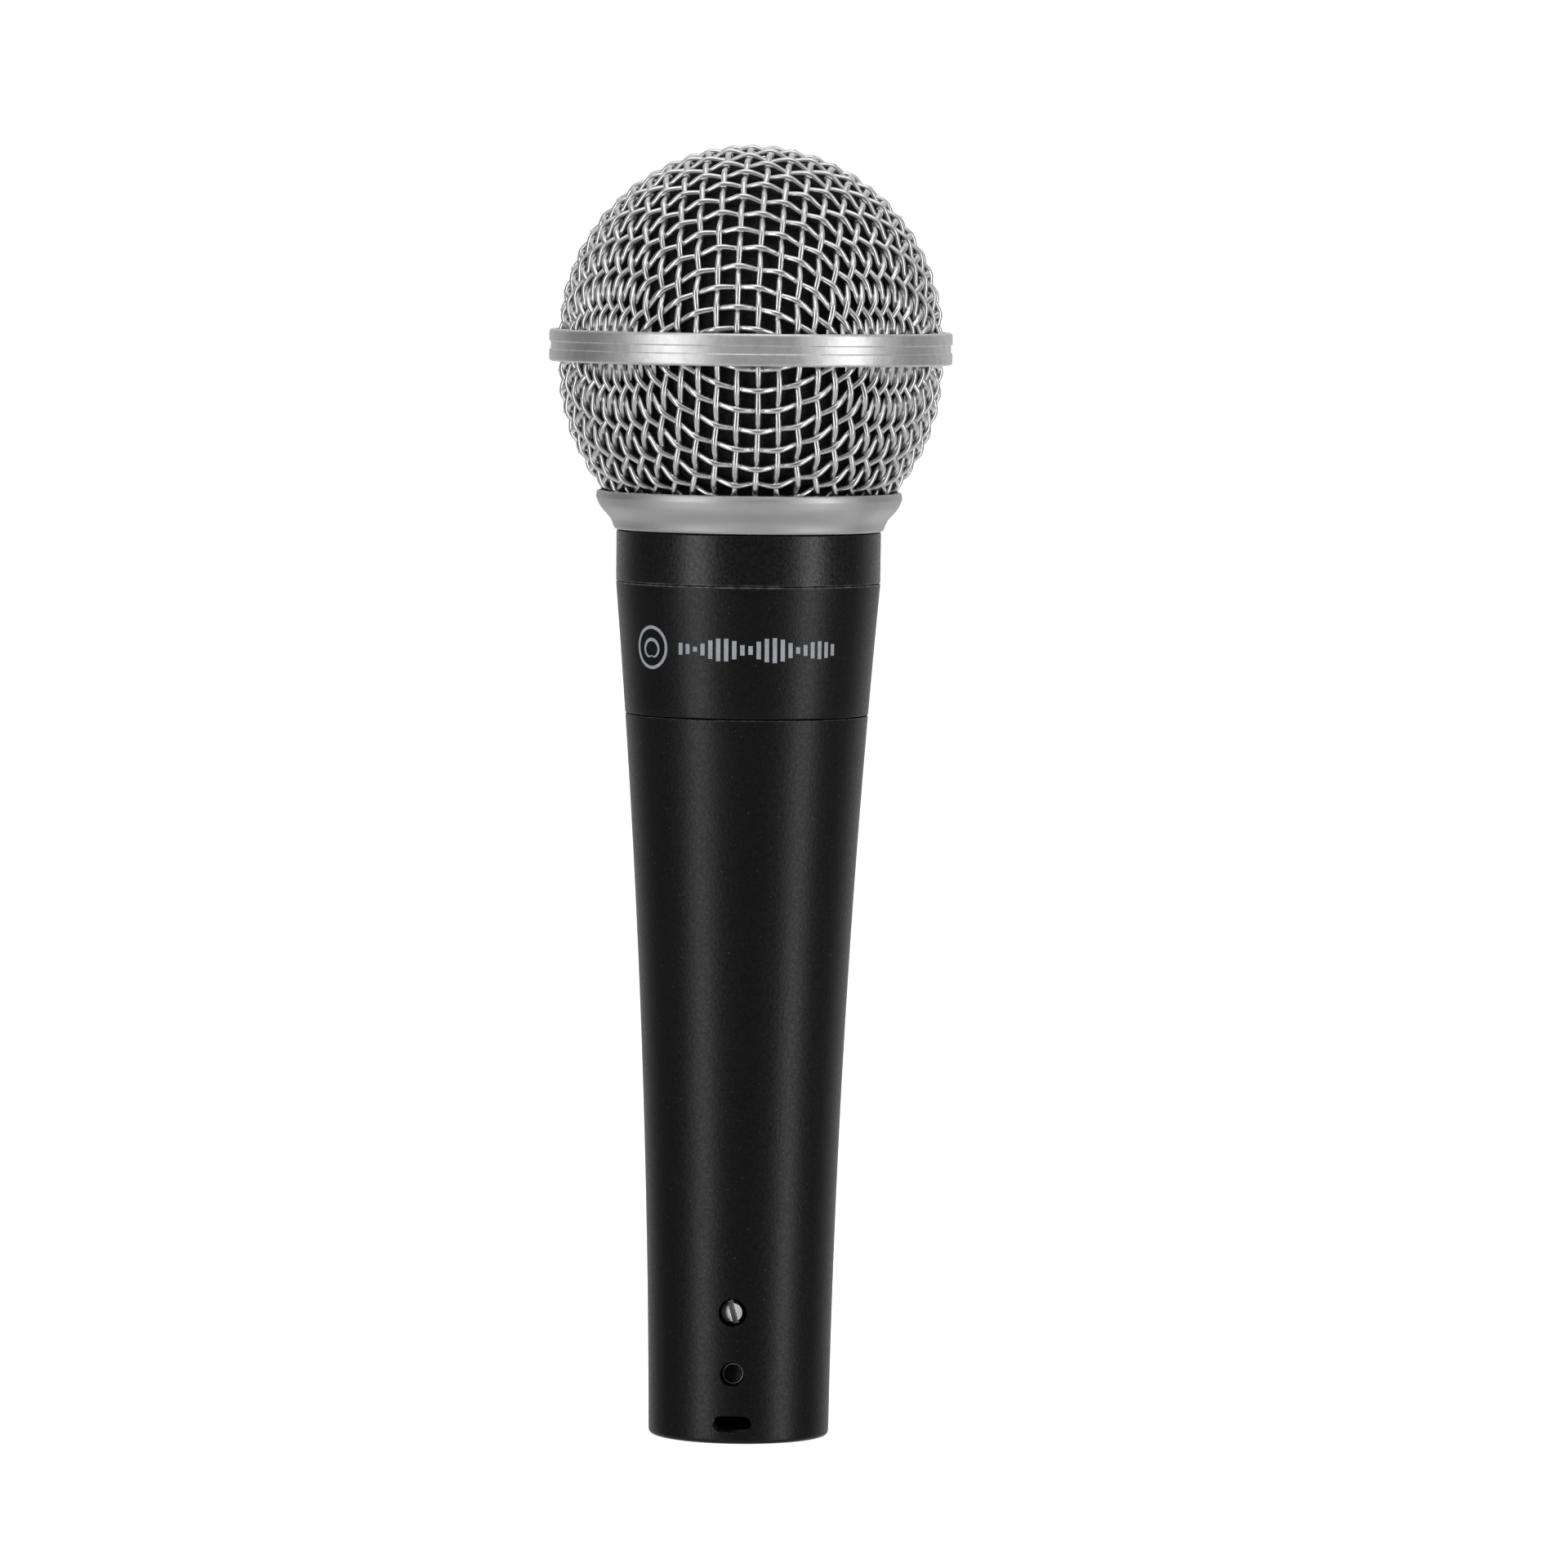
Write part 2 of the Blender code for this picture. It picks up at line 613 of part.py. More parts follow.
def set_screw(finish, parts, cutters):
    """Slotted grub screw that locks the connector: its axis lies along Y, and its slot faces out."""
    chamfer, slot_width, slot_depth = 0.33, *SCREW_SLOT
    outline = [
        (0, 0),
        (SCREW_RADIUS - chamfer, 0),
        (SCREW_RADIUS, -chamfer),
        (SCREW_RADIUS, chamfer - SCREW_LENGTH),
        (SCREW_RADIUS - chamfer, -SCREW_LENGTH),
        (0, -SCREW_LENGTH),
    ]
    screw = turned("set_screw", outline, finish, parts, 24, closed=False)
    face_out = Matrix.Rotation(math.radians(90), 4, "X")
    screw.matrix_world = Matrix.Translation(Vector((0, SCREW_OUTER_Y, SCREW_Z)) * MM) @ face_out
    size, centre = (slot_width, 2 * slot_depth, 3 * SCREW_RADIUS), (0, SCREW_OUTER_Y, SCREW_Z)
    slot = block("screw_slot", size, centre, cutters)
    slot.rotation_euler = (0, math.radians(-SCREW_SLOT_TILT), 0)
    cut(screw, slot)


# ---------------------------------------------------------------- leads


def twisted_route(side):
    """Points of one lead of a loosely twisted pair, from its solder lug down to its pin."""
    turns, count, twist_radius = 4 - 1 / 6, 30, 1.1
    hot, cold = Vector(pin_place("connector_pin_2")), Vector(pin_place("connector_pin_3"))
    between_pins, apart = (hot + cold) / 2, (hot - cold).length / 2
    top, bottom = STEM_BOTTOM_Z - 5.4, PIN_TAIL_Z + 0.5
    points = []
    for i in range(count):
        along = i / (count - 1)
        parting = abs(2 * along - 1) ** 6  # 1 at both ends, where the leads part
        radius = twist_radius + ((LUG_X if along < 0.5 else apart) - twist_radius) * parting
        angle = 2 * math.pi * turns * along
        slack = 1.5 * math.sin(math.pi * along)
        x = between_pins.x * along + slack * math.sin(5 * along) + side * radius * math.cos(angle)
        y = between_pins.y * along - slack * math.sin(7 * along) + side * radius * math.sin(angle)
        points.append(Vector((x, y, top + (bottom - top) * along)))
    return points


def lead(name, side, finish, parts):
    curve = bpy.data.curves.new(name, "CURVE")
    curve.dimensions = "3D"
    curve.bevel_depth = LEAD_RADIUS * MM
    curve.bevel_resolution = LEAD_SIDES_RESOLUTION
    curve.use_fill_caps = True
    route = twisted_route(side)
    spline = curve.splines.new("POLY")
    spline.points.add(len(route) - 1)
    for point, place_mm in zip(spline.points, route):
        point.co = (*(place_mm * MM), 1)
    place(name, curve, finish, parts)


# ---------------------------------------------------------------- assembly


def main():
    clear_scene()
    parts = collection("dynamic_microphone")
    cutters = collection("cutters")

    black_paint = material("black_paint", (0.018, 0.018, 0.019), 0.42, 0.0)
    satin_silver = material("satin_silver", (0.60, 0.60, 0.61), 0.36, 0.9)
    wire_silver = material("wire_silver", (0.66, 0.66, 0.67), 0.28, 1.0)
    foam = material("foam", (0.012, 0.012, 0.013), 0.95, 0.0)
    black_plastic = material("black_plastic", (0.02, 0.02, 0.02), 0.5, 0.0)
    black_casting = material("black_casting", (0.02, 0.02, 0.02), 0.42, 0.0)
    rubber = material("rubber", (0.025, 0.025, 0.025), 0.8, 0.0)
    steel = material("steel", (0.52, 0.52, 0.54), 0.35, 1.0)
    magnet_plating = material("magnet_plating", (0.62, 0.61, 0.58), 0.25, 1.0)
    copper = material("copper", (0.72, 0.34, 0.2), 0.35, 1.0)
    film = material("film", (0.75, 0.72, 0.62), 0.3, 0.0)
    cloth = material("cloth", (0.05, 0.05, 0.05), 0.95, 0.0)
    board = material("board", (0.06, 0.2, 0.09), 0.5, 0.0)
    contact_plating = material("contact_plating", (0.8, 0.79, 0.74), 0.25, 1.0)
    red_lead = material("red_lead", (0.5, 0.03, 0.03), 0.5, 0.0)
    white_lead = material("white_lead", (0.7, 0.7, 0.68), 0.5, 0.0)

    main_handle(black_paint, parts, cutters)
    upper_handle(black_paint, parts)
    neck_ring(black_paint, parts)
    wire_cloth(wire_silver, parts)
    grille_band(satin_silver, parts)
    grille_collar(satin_silver, parts)
    foam_windscreen(foam, parts)
    capsule_housing(black_plastic, parts, cutters)
    capsule_cap(black_plastic, parts, cutters)
    motor(steel, magnet_plating, black_plastic, parts)
    diaphragm(film, copper, parts)
    capsule_small_parts(cloth, board, contact_plating, parts)
    shock_mount(rubber, parts)
    connector_shell(black_casting, parts, cutters)
    connector_insulator(black_plastic, parts, cutters)
    connector_pins(contact_plating, parts, cutters)
    ground_contact(contact_plating, parts)
    set_screw(steel, parts, cutters)
    lead("hot_lead", 1, red_lead, parts)
    lead("cold_lead", -1, white_lead, parts)


main()
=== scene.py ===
"""Looks for the handheld dynamic microphone: wire grille, foam, metal, handle, print and inner pieces.

Lengths of the object are in millimetres up to the point where a mesh is made, and in metres in the meshes.
"""

import math

import bmesh
import bpy
import numpy as np
from mathutils import Matrix, Vector


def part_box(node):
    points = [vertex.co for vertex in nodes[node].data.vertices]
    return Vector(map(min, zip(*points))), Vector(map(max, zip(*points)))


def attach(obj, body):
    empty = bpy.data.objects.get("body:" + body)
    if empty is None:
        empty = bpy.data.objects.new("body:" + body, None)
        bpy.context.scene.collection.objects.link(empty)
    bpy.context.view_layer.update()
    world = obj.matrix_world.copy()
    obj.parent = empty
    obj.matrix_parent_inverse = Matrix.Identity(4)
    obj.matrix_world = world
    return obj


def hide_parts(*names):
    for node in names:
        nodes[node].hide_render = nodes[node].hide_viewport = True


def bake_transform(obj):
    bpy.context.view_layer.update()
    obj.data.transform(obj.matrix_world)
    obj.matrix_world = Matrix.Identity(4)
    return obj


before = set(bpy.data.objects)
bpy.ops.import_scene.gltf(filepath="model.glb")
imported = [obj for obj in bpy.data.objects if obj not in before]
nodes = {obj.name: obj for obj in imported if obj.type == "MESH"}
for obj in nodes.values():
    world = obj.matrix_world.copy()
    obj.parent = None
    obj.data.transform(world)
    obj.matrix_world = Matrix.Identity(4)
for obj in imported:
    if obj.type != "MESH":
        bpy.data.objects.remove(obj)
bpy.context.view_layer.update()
MM = 0.001


# ---------------------------------------------------------------- sizes


def low(node):
    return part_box(node)[0] / MM


def high(node):
    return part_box(node)[1] / MM


# The handle, from its lower end up. The taper is a slope with a slight outward bend.
BASE_RADIUS = 11.44
TAPER_SLOPE = 0.0107
TAPER_LENGTH = 108.45
NECK_RADIUS = high("neck_ring").x
SEAM_Z = high("main_handle").z + 0.15  # where the main and upper handles meet
SHOULDER_Z = low("neck_ring").z - 0.15  # where the upper handle and the neck ring meet
WALL = 2.3
THREAD_BORE = 13.3
STEM_THREAD_RADIUS = 13.0
NECK_THREAD_RADIUS = 15.1

# Openings in the front of the handle: width, height, z of the middle, and how far the edge flares
SCREW_HOLE = (3.6, 3.6, 16.65, 0.10)
TEST_HOLE = (3.1, 3.1, 8.8, 0.10)
LATCH_WINDOW = (4.9, 2.0, 2.55, 0.05)

# The grille
BAND_Z = (low("grille_band").z + high("grille_band").z) / 2
BAND_HEIGHT = high("grille_band").z - low("grille_band").z
BAND_RADIUS = high("grille_band").x
CLOTH_RADIUS = high("mesh_dome").x
DOME_CENTRE_Z = high("mesh_dome").z - CLOTH_RADIUS
BOWL_CENTRE_Z = DOME_CENTRE_Z - 3.75
COLLAR_BOTTOM = low("grille_collar").z
COLLAR_TOP = high("grille_collar").z

# The wire cloth. Each half's turn is in degrees, and its tilt is how far its front sits up.
WIRE_RADIUS = 0.385
WIRE_PITCH = 2.6
WIRES_EACH_WAY = 17
STEPS_PER_CELL = 8
WIRE_SIDES = 10
PITCH_SCATTER = 0.04
DOME_TURN, DOME_TILT = 0.2, 0.88
BOWL_TURN, BOWL_TILT = 6.8, 0.84


# ---------------------------------------------------------------- camera, light and floor


# Lengths here are in metres, and angles in degrees. The camera looks a little right of the object's axis.
VIEW_TURN = math.radians(4.5)  # the camera stands this far towards +X from the -Y side
CAMERA_DISTANCE = 1.220
CAMERA_HEIGHT = 0.159
CAMERA_ROLL = 0.68
FOCAL_LENGTH, SENSOR_WIDTH = 221.4, 36.0  # millimetres
LOOK_RIGHT = 0.00376
LOOK_HEIGHT = 0.08281
LIGHTS_AIM_HEIGHT = 0.09


def aim(obj, target):
    obj.rotation_euler = (Vector(target) - obj.location).to_track_quat("-Z", "Y").to_euler()


def round_object(turn, distance, height):
    """A point round the object. A turn of 0 is the camera's side, and a positive one is to its right."""
    angle = VIEW_TURN + math.radians(turn)
    return Vector((distance * math.sin(angle), -distance * math.cos(angle), height))


def add_camera():
    data = bpy.data.cameras.new("camera")
    data.lens = FOCAL_LENGTH
    data.sensor_width = SENSOR_WIDTH
    camera = bpy.data.objects.new("camera", data)
    bpy.context.scene.collection.objects.link(camera)
    camera.location = round_object(0, CAMERA_DISTANCE, CAMERA_HEIGHT)
    across = Vector((math.cos(VIEW_TURN), math.sin(VIEW_TURN), 0))
    aim(camera, across * LOOK_RIGHT + Vector((0, 0, LOOK_HEIGHT)))
    camera.rotation_euler.rotate_axis("Z", math.radians(CAMERA_ROLL))
    bpy.context.scene.camera = camera


def area_light(name, turn, distance, height, size, power):
    data = bpy.data.lights.new(name, "AREA")
    data.shape = "RECTANGLE"
    data.size, data.size_y = size
    data.energy = power
    light = bpy.data.objects.new(name, data)
    bpy.context.scene.collection.objects.link(light)
    light.location = round_object(turn, distance, height)
    light.visible_camera = False
    aim(light, (0, 0, LIGHTS_AIM_HEIGHT))


def add_world():
    """A dim studio, brighter above, below and behind the object. The camera itself sees plain white."""
    world = bpy.data.worlds.new("studio")
    bpy.context.scene.world = world
    world.use_nodes = True
    tree = world.node_tree
    tree.nodes.clear()
    link = tree.links.new
    out = tree.nodes.new("ShaderNodeOutputWorld")
    direction = tree.nodes.new("ShaderNodeTexCoord")
    split = tree.nodes.new("ShaderNodeSeparateXYZ")
    link(direction.outputs["Generated"], split.inputs["Vector"])
    total = None
    behind = ("Y", 0.30, 1.00, 0.12, 0.80)
    below = ("Z", -0.15, -0.75, 0.0, 0.45)
    above = ("Z", 0.25, 0.9, 0.0, 0.45)
    for axis, start, end, dim, bright in (behind, below, above):
        ramp = tree.nodes.new("ShaderNodeMapRange")
        ramp.interpolation_type = "SMOOTHSTEP"
        ramp.inputs["From Min"].default_value = start
        ramp.inputs["From Max"].default_value = end
        ramp.inputs["To Min"].default_value = dim
        ramp.inputs["To Max"].default_value = bright
        link(split.outputs[axis], ramp.inputs["Value"])
        if total is None:
            total = ramp.outputs["Result"]
            continue
        add = tree.nodes.new("ShaderNodeMath")
        link(total, add.inputs[0])
        link(ramp.outputs["Result"], add.inputs[1])
        total = add.outputs["Value"]
    around = tree.nodes.new("ShaderNodeBackground")
    link(total, around.inputs["Strength"])
    seen = tree.nodes.new("ShaderNodeBackground")
    seen.inputs["Color"].default_value = (1, 1, 1, 1)
    rays = tree.nodes.new("ShaderNodeLightPath")
    mix = tree.nodes.new("ShaderNodeMixShader")
    link(rays.outputs["Is Camera Ray"], mix.inputs["Fac"])
    link(around.outputs["Background"], mix.inputs[1])
    link(seen.outputs["Background"], mix.inputs[2])
    link(mix.outputs["Shader"], out.inputs["Surface"])


def one_sided(material):
    """Makes the side that faces away see-through, so that the object shows from underneath too."""
    tree = material.node_tree
    side = tree.nodes.new("ShaderNodeNewGeometry")
    clear = tree.nodes.new("ShaderNodeBsdfTransparent")
    mix = tree.nodes.new("ShaderNodeMixShader")
    tree.links.new(side.outputs["Backfacing"], mix.inputs["Fac"])
    tree.links.new(tree.nodes["Principled BSDF"].outputs["BSDF"], mix.inputs[1])
    tree.links.new(clear.outputs["BSDF"], mix.inputs[2])
    tree.links.new(mix.outputs["Shader"], tree.nodes["Material Output"].inputs["Surface"])


def ground(name, radius, height, colour, glow, front=None):
    """A flat round sheet on the floor's plane, seen from above only. It may be cut off at a front y."""
    mesh = bpy.data.meshes.new(name)
    shape = bmesh.new()
    bmesh.ops.create_circle(shape, cap_ends=True, segments=64, radius=radius)
    for vertex in shape.verts:
        vertex.co.z = height
    if front is not None:
        everything = shape.verts[:] + shape.edges[:] + shape.faces[:]
        at, facing = (0, front, 0), (0, 1, 0)
        bmesh.ops.bisect_plane(shape, geom=everything, plane_co=at, plane_no=facing, clear_inner=True)
    if shape.faces[:][0].normal.z < 0:
        bmesh.ops.reverse_faces(shape, faces=shape.faces)
    shape.to_mesh(mesh)
    shape.free()
    sheet = bpy.data.objects.new(name, mesh)
    bpy.context.scene.collection.objects.link(sheet)
    finish = bpy.data.materials.new(name)
    finish.use_nodes = True
    shader = finish.node_tree.nodes["Principled BSDF"]
    shader.inputs["Base Color"].default_value = (colour, colour, colour, 1)
    shader.inputs["Roughness"].default_value = 0.9
    shader.inputs["Specular IOR Level"].default_value = 0.1
    shader.inputs["Emission Color"].default_value = (1, 1, 1, 1)
    shader.inputs["Emission Strength"].default_value = glow
    one_sided(finish)
    mesh.materials.append(finish)
    return sheet


def add_floor():
    """A white floor that throws no light back, and a dark patch of painted shade where the object covers
    it.

    Only the back of the patch, which is also painted shade to the camera, keeps light out of the socket, so
    that the pins show from underneath.
    """
    inside_rim = 10.5 * MM
    floor = ground("floor", radius=12.0, height=0, colour=0.85, glow=0.80)
    # Painted shade: a dark sheet, seen only by the camera, inside the rim where the glowing floor would
    # show through the socket's openings.
    patch = ground("painted_shade_floor", inside_rim, height=0.01 * MM, colour=0.02, glow=0)
    for sheet in (floor, patch):
        sheet.visible_diffuse = sheet.visible_glossy = sheet.visible_shadow = False
    # Painted shade that also blocks light: a dark sheet over the back half of the socket's floor.
    ground("shaded_floor", inside_rim, height=0.02 * MM, colour=0.02, glow=0, front=4.0 * MM)


bpy.context.scene.view_settings.view_transform = "Standard"
add_camera()
add_world()
add_floor()
area_light("strip_left", turn=-46, distance=0.70, height=0.12, size=(0.24, 0.90), power=1.75)
area_light("strip_right", turn=56, distance=0.70, height=0.12, size=(0.20, 0.90), power=1.75)
area_light("top_soft", turn=0, distance=0.3, height=0.95, size=(0.7, 0.7), power=1.5)


# ---------------------------------------------------------------- materials


class Finish:
    """A Principled material, with helpers for its procedural detail."""

    def __init__(self, name, colour, roughness, metallic=0.0, specular=0.5):
        self.material = bpy.data.materials.new(name)
        self.material.use_nodes = True
        self.tree = self.material.node_tree
        self.shader = self.tree.nodes["Principled BSDF"]
        self.shader.inputs["Base Color"].default_value = (*colour, 1)
        self.shader.inputs["Roughness"].default_value = roughness
        self.shader.inputs["Metallic"].default_value = metallic
        self.shader.inputs["Specular IOR Level"].default_value = specular
        self.place = self.tree.nodes.new("ShaderNodeTexCoord")
        self.material.diffuse_color = (*colour, 1)

    def stretched(self, scale):
        """The object's own coordinates, scaled along each axis."""
        mapping = self.tree.nodes.new("ShaderNodeMapping")
        mapping.inputs["Scale"].default_value = scale
        self.tree.links.new(self.place.outputs["Object"], mapping.inputs["Vector"])
        return mapping.outputs["Vector"]

    def noise(self, per_mm, detail=2.0, scale=(1, 1, 1), rough=0.5):
        node = self.tree.nodes.new("ShaderNodeTexNoise")
        node.inputs["Scale"].default_value = per_mm / MM
        node.inputs["Detail"].default_value = detail
        node.inputs["Roughness"].default_value = rough
        self.tree.links.new(self.stretched(scale), node.inputs["Vector"])
        return node.outputs["Fac"]

    def remap(self, value, low_in, high_in, low_out, high_out):
        """Turns one range of a value into another, and holds it at both ends."""
        node = self.tree.nodes.new("ShaderNodeMapRange")
        node.inputs["From Min"].default_value = low_in
        node.inputs["From Max"].default_value = high_in
        node.inputs["To Min"].default_value = low_out
        node.inputs["To Max"].default_value = high_out
        self.tree.links.new(value, node.inputs["Value"])
        return node.outputs["Result"]

    def math(self, operation, first, second=None):
        node = self.tree.nodes.new("ShaderNodeMath")
        node.operation = operation
        for socket, value in zip(node.inputs, (first, second)):
            if isinstance(value, bpy.types.NodeSocket):
                self.tree.links.new(value, socket)
            elif value is not None:
                socket.default_value = value
        return node.outputs["Value"]

    def vary_colour(self, value, low_in, high_in, other):
        """Moves towards another colour as the value rises."""
        mix = self.tree.nodes.new("ShaderNodeMix")
        mix.data_type = "RGBA"
        source = self.shader.inputs["Base Color"]
        if source.is_linked:
            self.tree.links.new(source.links[0].from_socket, mix.inputs["A"])
        else:
            mix.inputs["A"].default_value = source.default_value
        mix.inputs["B"].default_value = (*other, 1)
        self.tree.links.new(self.remap(value, low_in, high_in, 0, 1), mix.inputs["Factor"])
        self.tree.links.new(mix.outputs["Result"], source)
        return self

    def vary_roughness(self, value, low_in, high_in, low_out, high_out):
        roughness = self.remap(value, low_in, high_in, low_out, high_out)
        self.tree.links.new(roughness, self.shader.inputs["Roughness"])
        return self

    def bump(self, value, height_mm, strength=1.0):
        node = self.tree.nodes.new("ShaderNodeBump")
        node.inputs["Distance"].default_value = height_mm * MM
        node.inputs["Strength"].default_value = strength
        source = self.shader.inputs["Normal"]
        if source.is_linked:
            self.tree.links.new(source.links[0].from_socket, node.inputs["Normal"])
        self.tree.links.new(value, node.inputs["Height"])
        self.tree.links.new(node.outputs["Normal"], source)
        return self


def black_paint(name, worn_and_glint_edges=(), gloss=0.37, smoothest=0.32, roughest=0.42):
    """Satin black paint. Each edge is a height at which the colour is lightened in patches: partly worn
    paint, partly a painted glint of light caught on the edge.
    """
    finish = Finish(name, (0.0040, 0.0040, 0.0042), 0.38, 0.0, gloss)
    finish.vary_roughness(finish.noise(2.6, 3.0), 0.35, 0.65, smoothest, roughest)
    finish.bump(finish.noise(2.6, 3.0), 0.035, 0.8)
    finish.vary_colour(finish.noise(2.4, 1.0), 0.74, 0.80, (0.06, 0.06, 0.06))
    if worn_and_glint_edges:
        split = finish.tree.nodes.new("ShaderNodeSeparateXYZ")
        finish.tree.links.new(finish.place.outputs["Object"], split.inputs["Vector"])
        patches = finish.remap(finish.noise(1.1, 3.0), 0.42, 0.62, 0.25, 1)
        for height, strength in worn_and_glint_edges:
            away = finish.math("ABSOLUTE", finish.math("SUBTRACT", split.outputs["Z"], height * MM))
            near = finish.remap(away, 0.05 * MM, 0.16 * MM, strength, 0)
            # Lightens the colour near the edge: partly worn paint, partly painted glints.
            finish.vary_colour(finish.math("MULTIPLY", near, patches), 0, 1, (0.16, 0.16, 0.16))
    return finish.material


def satin_silver():
    finish = Finish("satin_silver", (0.70, 0.70, 0.705), 0.52, 1.0)
    finish.vary_roughness(finish.noise(0.18, 3.0, (1, 1, 0.4)), 0.3, 0.7, 0.48, 0.56)
    finish.bump(finish.noise(5.0, 2.0), 0.004, 0.4)
    finish.vary_colour(finish.noise(0.12, 4.0), 0.45, 0.75, (0.60, 0.60, 0.61))
    return finish.material


def band_silver():
    finish = Finish("band_silver", (0.86, 0.86, 0.86), 0.44, 1.0)
    finish.vary_roughness(finish.noise(0.22, 3.0, (1, 1, 0.5)), 0.35, 0.7, 0.42, 0.50)
    finish.bump(finish.noise(2.6, 3.0), 0.022, 0.8)
    finish.vary_colour(finish.noise(0.9, 4.0), 0.45, 0.75, (0.74, 0.74, 0.74))
    return finish.material


def wire_silver():
    finish = Finish("wire_silver", (0.92, 0.92, 0.92), 0.27, 1.0)
    finish.vary_roughness(finish.noise(0.15, 2.0), 0.3, 0.7, 0.28, 0.35)
    finish.vary_colour(finish.noise(0.2, 2.0), 0.5, 0.75, (0.80, 0.80, 0.805))
    finish.bump(finish.noise(0.5, 1.0), 0.012, 0.3)
    return finish.material


def foam_black():
    finish = Finish("foam", (0.015, 0.015, 0.0155), 0.95, 0.0, 0.15)
    cells = finish.noise(2.2, 2.0)
    finish.bump(cells, 0.15, 0.8)
    finish.vary_colour(cells, 0.45, 0.75, (0.03, 0.03, 0.03))
    return finish.material


def simple(name, colour, roughness, metallic=0.0, grain=3.0, depth=0.01, shade=0.75):
    """A plain material of the kind inside the microphone, with a fine grain and a slight change of tone."""
    finish = Finish(name, colour, roughness, metallic)
    finish.bump(finish.noise(grain, 2.0), depth, 0.5)
    finish.vary_colour(finish.noise(0.3, 3.0), 0.45, 0.75, tuple(channel * shade for channel in colour))
    return finish.material


# Heights of the lightened edges below and above the joints: partly worn paint, partly painted glints.
EDGE_BELOW_JOINT = 0.12
EDGE_ABOVE_JOINT = 0.10
LOWER_BLACK = black_paint("black_paint", [(SEAM_Z - EDGE_BELOW_JOINT, 0.35)])
UPPER_BLACK = black_paint("black_paint_upper", [(SHOULDER_Z - EDGE_BELOW_JOINT, 1.0)])
RING_BLACK = black_paint("black_paint_ring", [(SHOULDER_Z + EDGE_ABOVE_JOINT, 0.5)], 0.52, 0.25, 0.40)
COLLAR_SILVER = satin_silver()
BAND_SILVER = band_silver()
WIRE = wire_silver()
FOAM = foam_black()


# ---------------------------------------------------------------- building pieces


def new_object(name, mesh, finish, smooth=True):
    if finish is not None:
        mesh.materials.append(finish)
    if smooth:
        mesh.polygons.foreach_set("use_smooth", [True] * len(mesh.polygons))
    obj = bpy.data.objects.new(name, mesh)
    bpy.context.scene.collection.objects.link(obj)
    return obj


def finish_piece(obj, body, replaced=()):
    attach(obj, body)
    if replaced:
        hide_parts(*replaced)
    return obj


def rounded(corners, steps=4):
    """Replaces each corner (r, z, radius) by a small arc."""
    points = []
    count = len(corners)
    for i, (r, z, radius) in enumerate(corners):
        here = Vector((r, z))
        if radius <= 0:
            points.append((r, z))
            continue
        before = (Vector(corners[i - 1][:2]) - here).normalized()
        after = (Vector(corners[(i + 1) % count][:2]) - here).normalized()
        start, end = here + before * radius, here + after * radius
        for k in range(steps + 1):
            t = k / steps
            point = start * (1 - t) ** 2 + here * 2 * t * (1 - t) + end * t**2
            points.append((point.x, point.y))
    return points


def closed_mesh(name, shape, sharp=None):
    """Makes a mesh with outward normals from a bmesh. Edges over an angle in degrees stay crisp."""
    bmesh.ops.recalc_face_normals(shape, faces=shape.faces)
    if sharp is not None:
        for edge in shape.edges:
            if len(edge.link_faces) == 2 and edge.calc_face_angle(0) > math.radians(sharp):
                edge.smooth = False
    mesh = bpy.data.meshes.new(name)
    shape.to_mesh(mesh)
    shape.free()
    return mesh


def catmull_rom(points, k, t):
    """A point between points k and k + 1 of a smooth line through all the points."""
    last = len(points) - 1
    p0, p1, p2, p3 = (points[min(max(k + o, 0), last)] for o in (-1, 0, 1, 2))
    bend = (2 * p0 - 5 * p1 + 4 * p2 - p3) * t**2
    return 0.5 * (2 * p1 + (p2 - p0) * t + bend + (3 * p1 - p0 - 3 * p2 + p3) * t**3)


def lathe(name, profile, finish, steps=192, sharp=35):
    """A closed turned solid from points (r, z) in millimetres that run down the outside."""
    shape = bmesh.new()
    rings = []
    for k in range(steps):
        angle = 2 * math.pi * k / steps
        c, s = math.cos(angle), math.sin(angle)
        rings.append([shape.verts.new((r * MM * c, r * MM * s, z * MM)) for r, z in profile])
    count = len(profile)
    for k in range(steps):
        here, there = rings[k], rings[(k + 1) % steps]
        for i in range(count):
            j = (i + 1) % count
            shape.faces.new((here[i], here[j], there[j], there[i]))
    return new_object(name, closed_mesh(name, shape, sharp), finish)


def handle_radius(z):
    bulge = (NECK_RADIUS - BASE_RADIUS - TAPER_SLOPE * TAPER_LENGTH) / TAPER_LENGTH**2
    return BASE_RADIUS + TAPER_SLOPE * z + bulge * z * z


# ---------------------------------------------------------------- woven wire cloth


def cloth_net(radius, pitch, count):
    """Crossings of a square cloth that lies on a sphere round the origin, its middle at the top.

    Two wires cross at the top and run down great circles. Every other crossing is one pitch from both its
    neighbours, as threads that turn at the crossings but don't stretch.
    """
    net = {}
    turn = 2 * math.asin(pitch / (2 * radius))
    for i in range(count + 1):
        angle = i * turn
        net[i, 0] = np.array([radius * math.sin(angle), 0, radius * math.cos(angle)])
        net[0, i] = np.array([0, radius * math.sin(angle), radius * math.cos(angle)])
    reach = radius**2 - pitch**2 / 2
    for i in range(1, count + 1):
        for j in range(1, count + 1):
            if (i, j - 1) not in net or (i - 1, j) not in net:
                continue
            a, b = net[i, j - 1], net[i - 1, j]
            both, side = a + b, np.cross(a, b)
            middle = both * reach / (radius**2 + a @ b)
            left = (radius**2 - middle @ middle) / (side @ side)
            if left <= 0:
                continue
            step = side * math.sqrt(left)
            back = net[i - 1, j - 1]
            choices = (middle + step, middle - step)
            net[i, j] = max(choices, key=lambda point: np.linalg.norm(point - back))
    full = {}
    for (i, j), point in net.items():
        for sx in (1, -1):
            for sy in (1, -1):
                full[i * sx, j * sy] = point * np.array([sx, sy, 1])
    return full


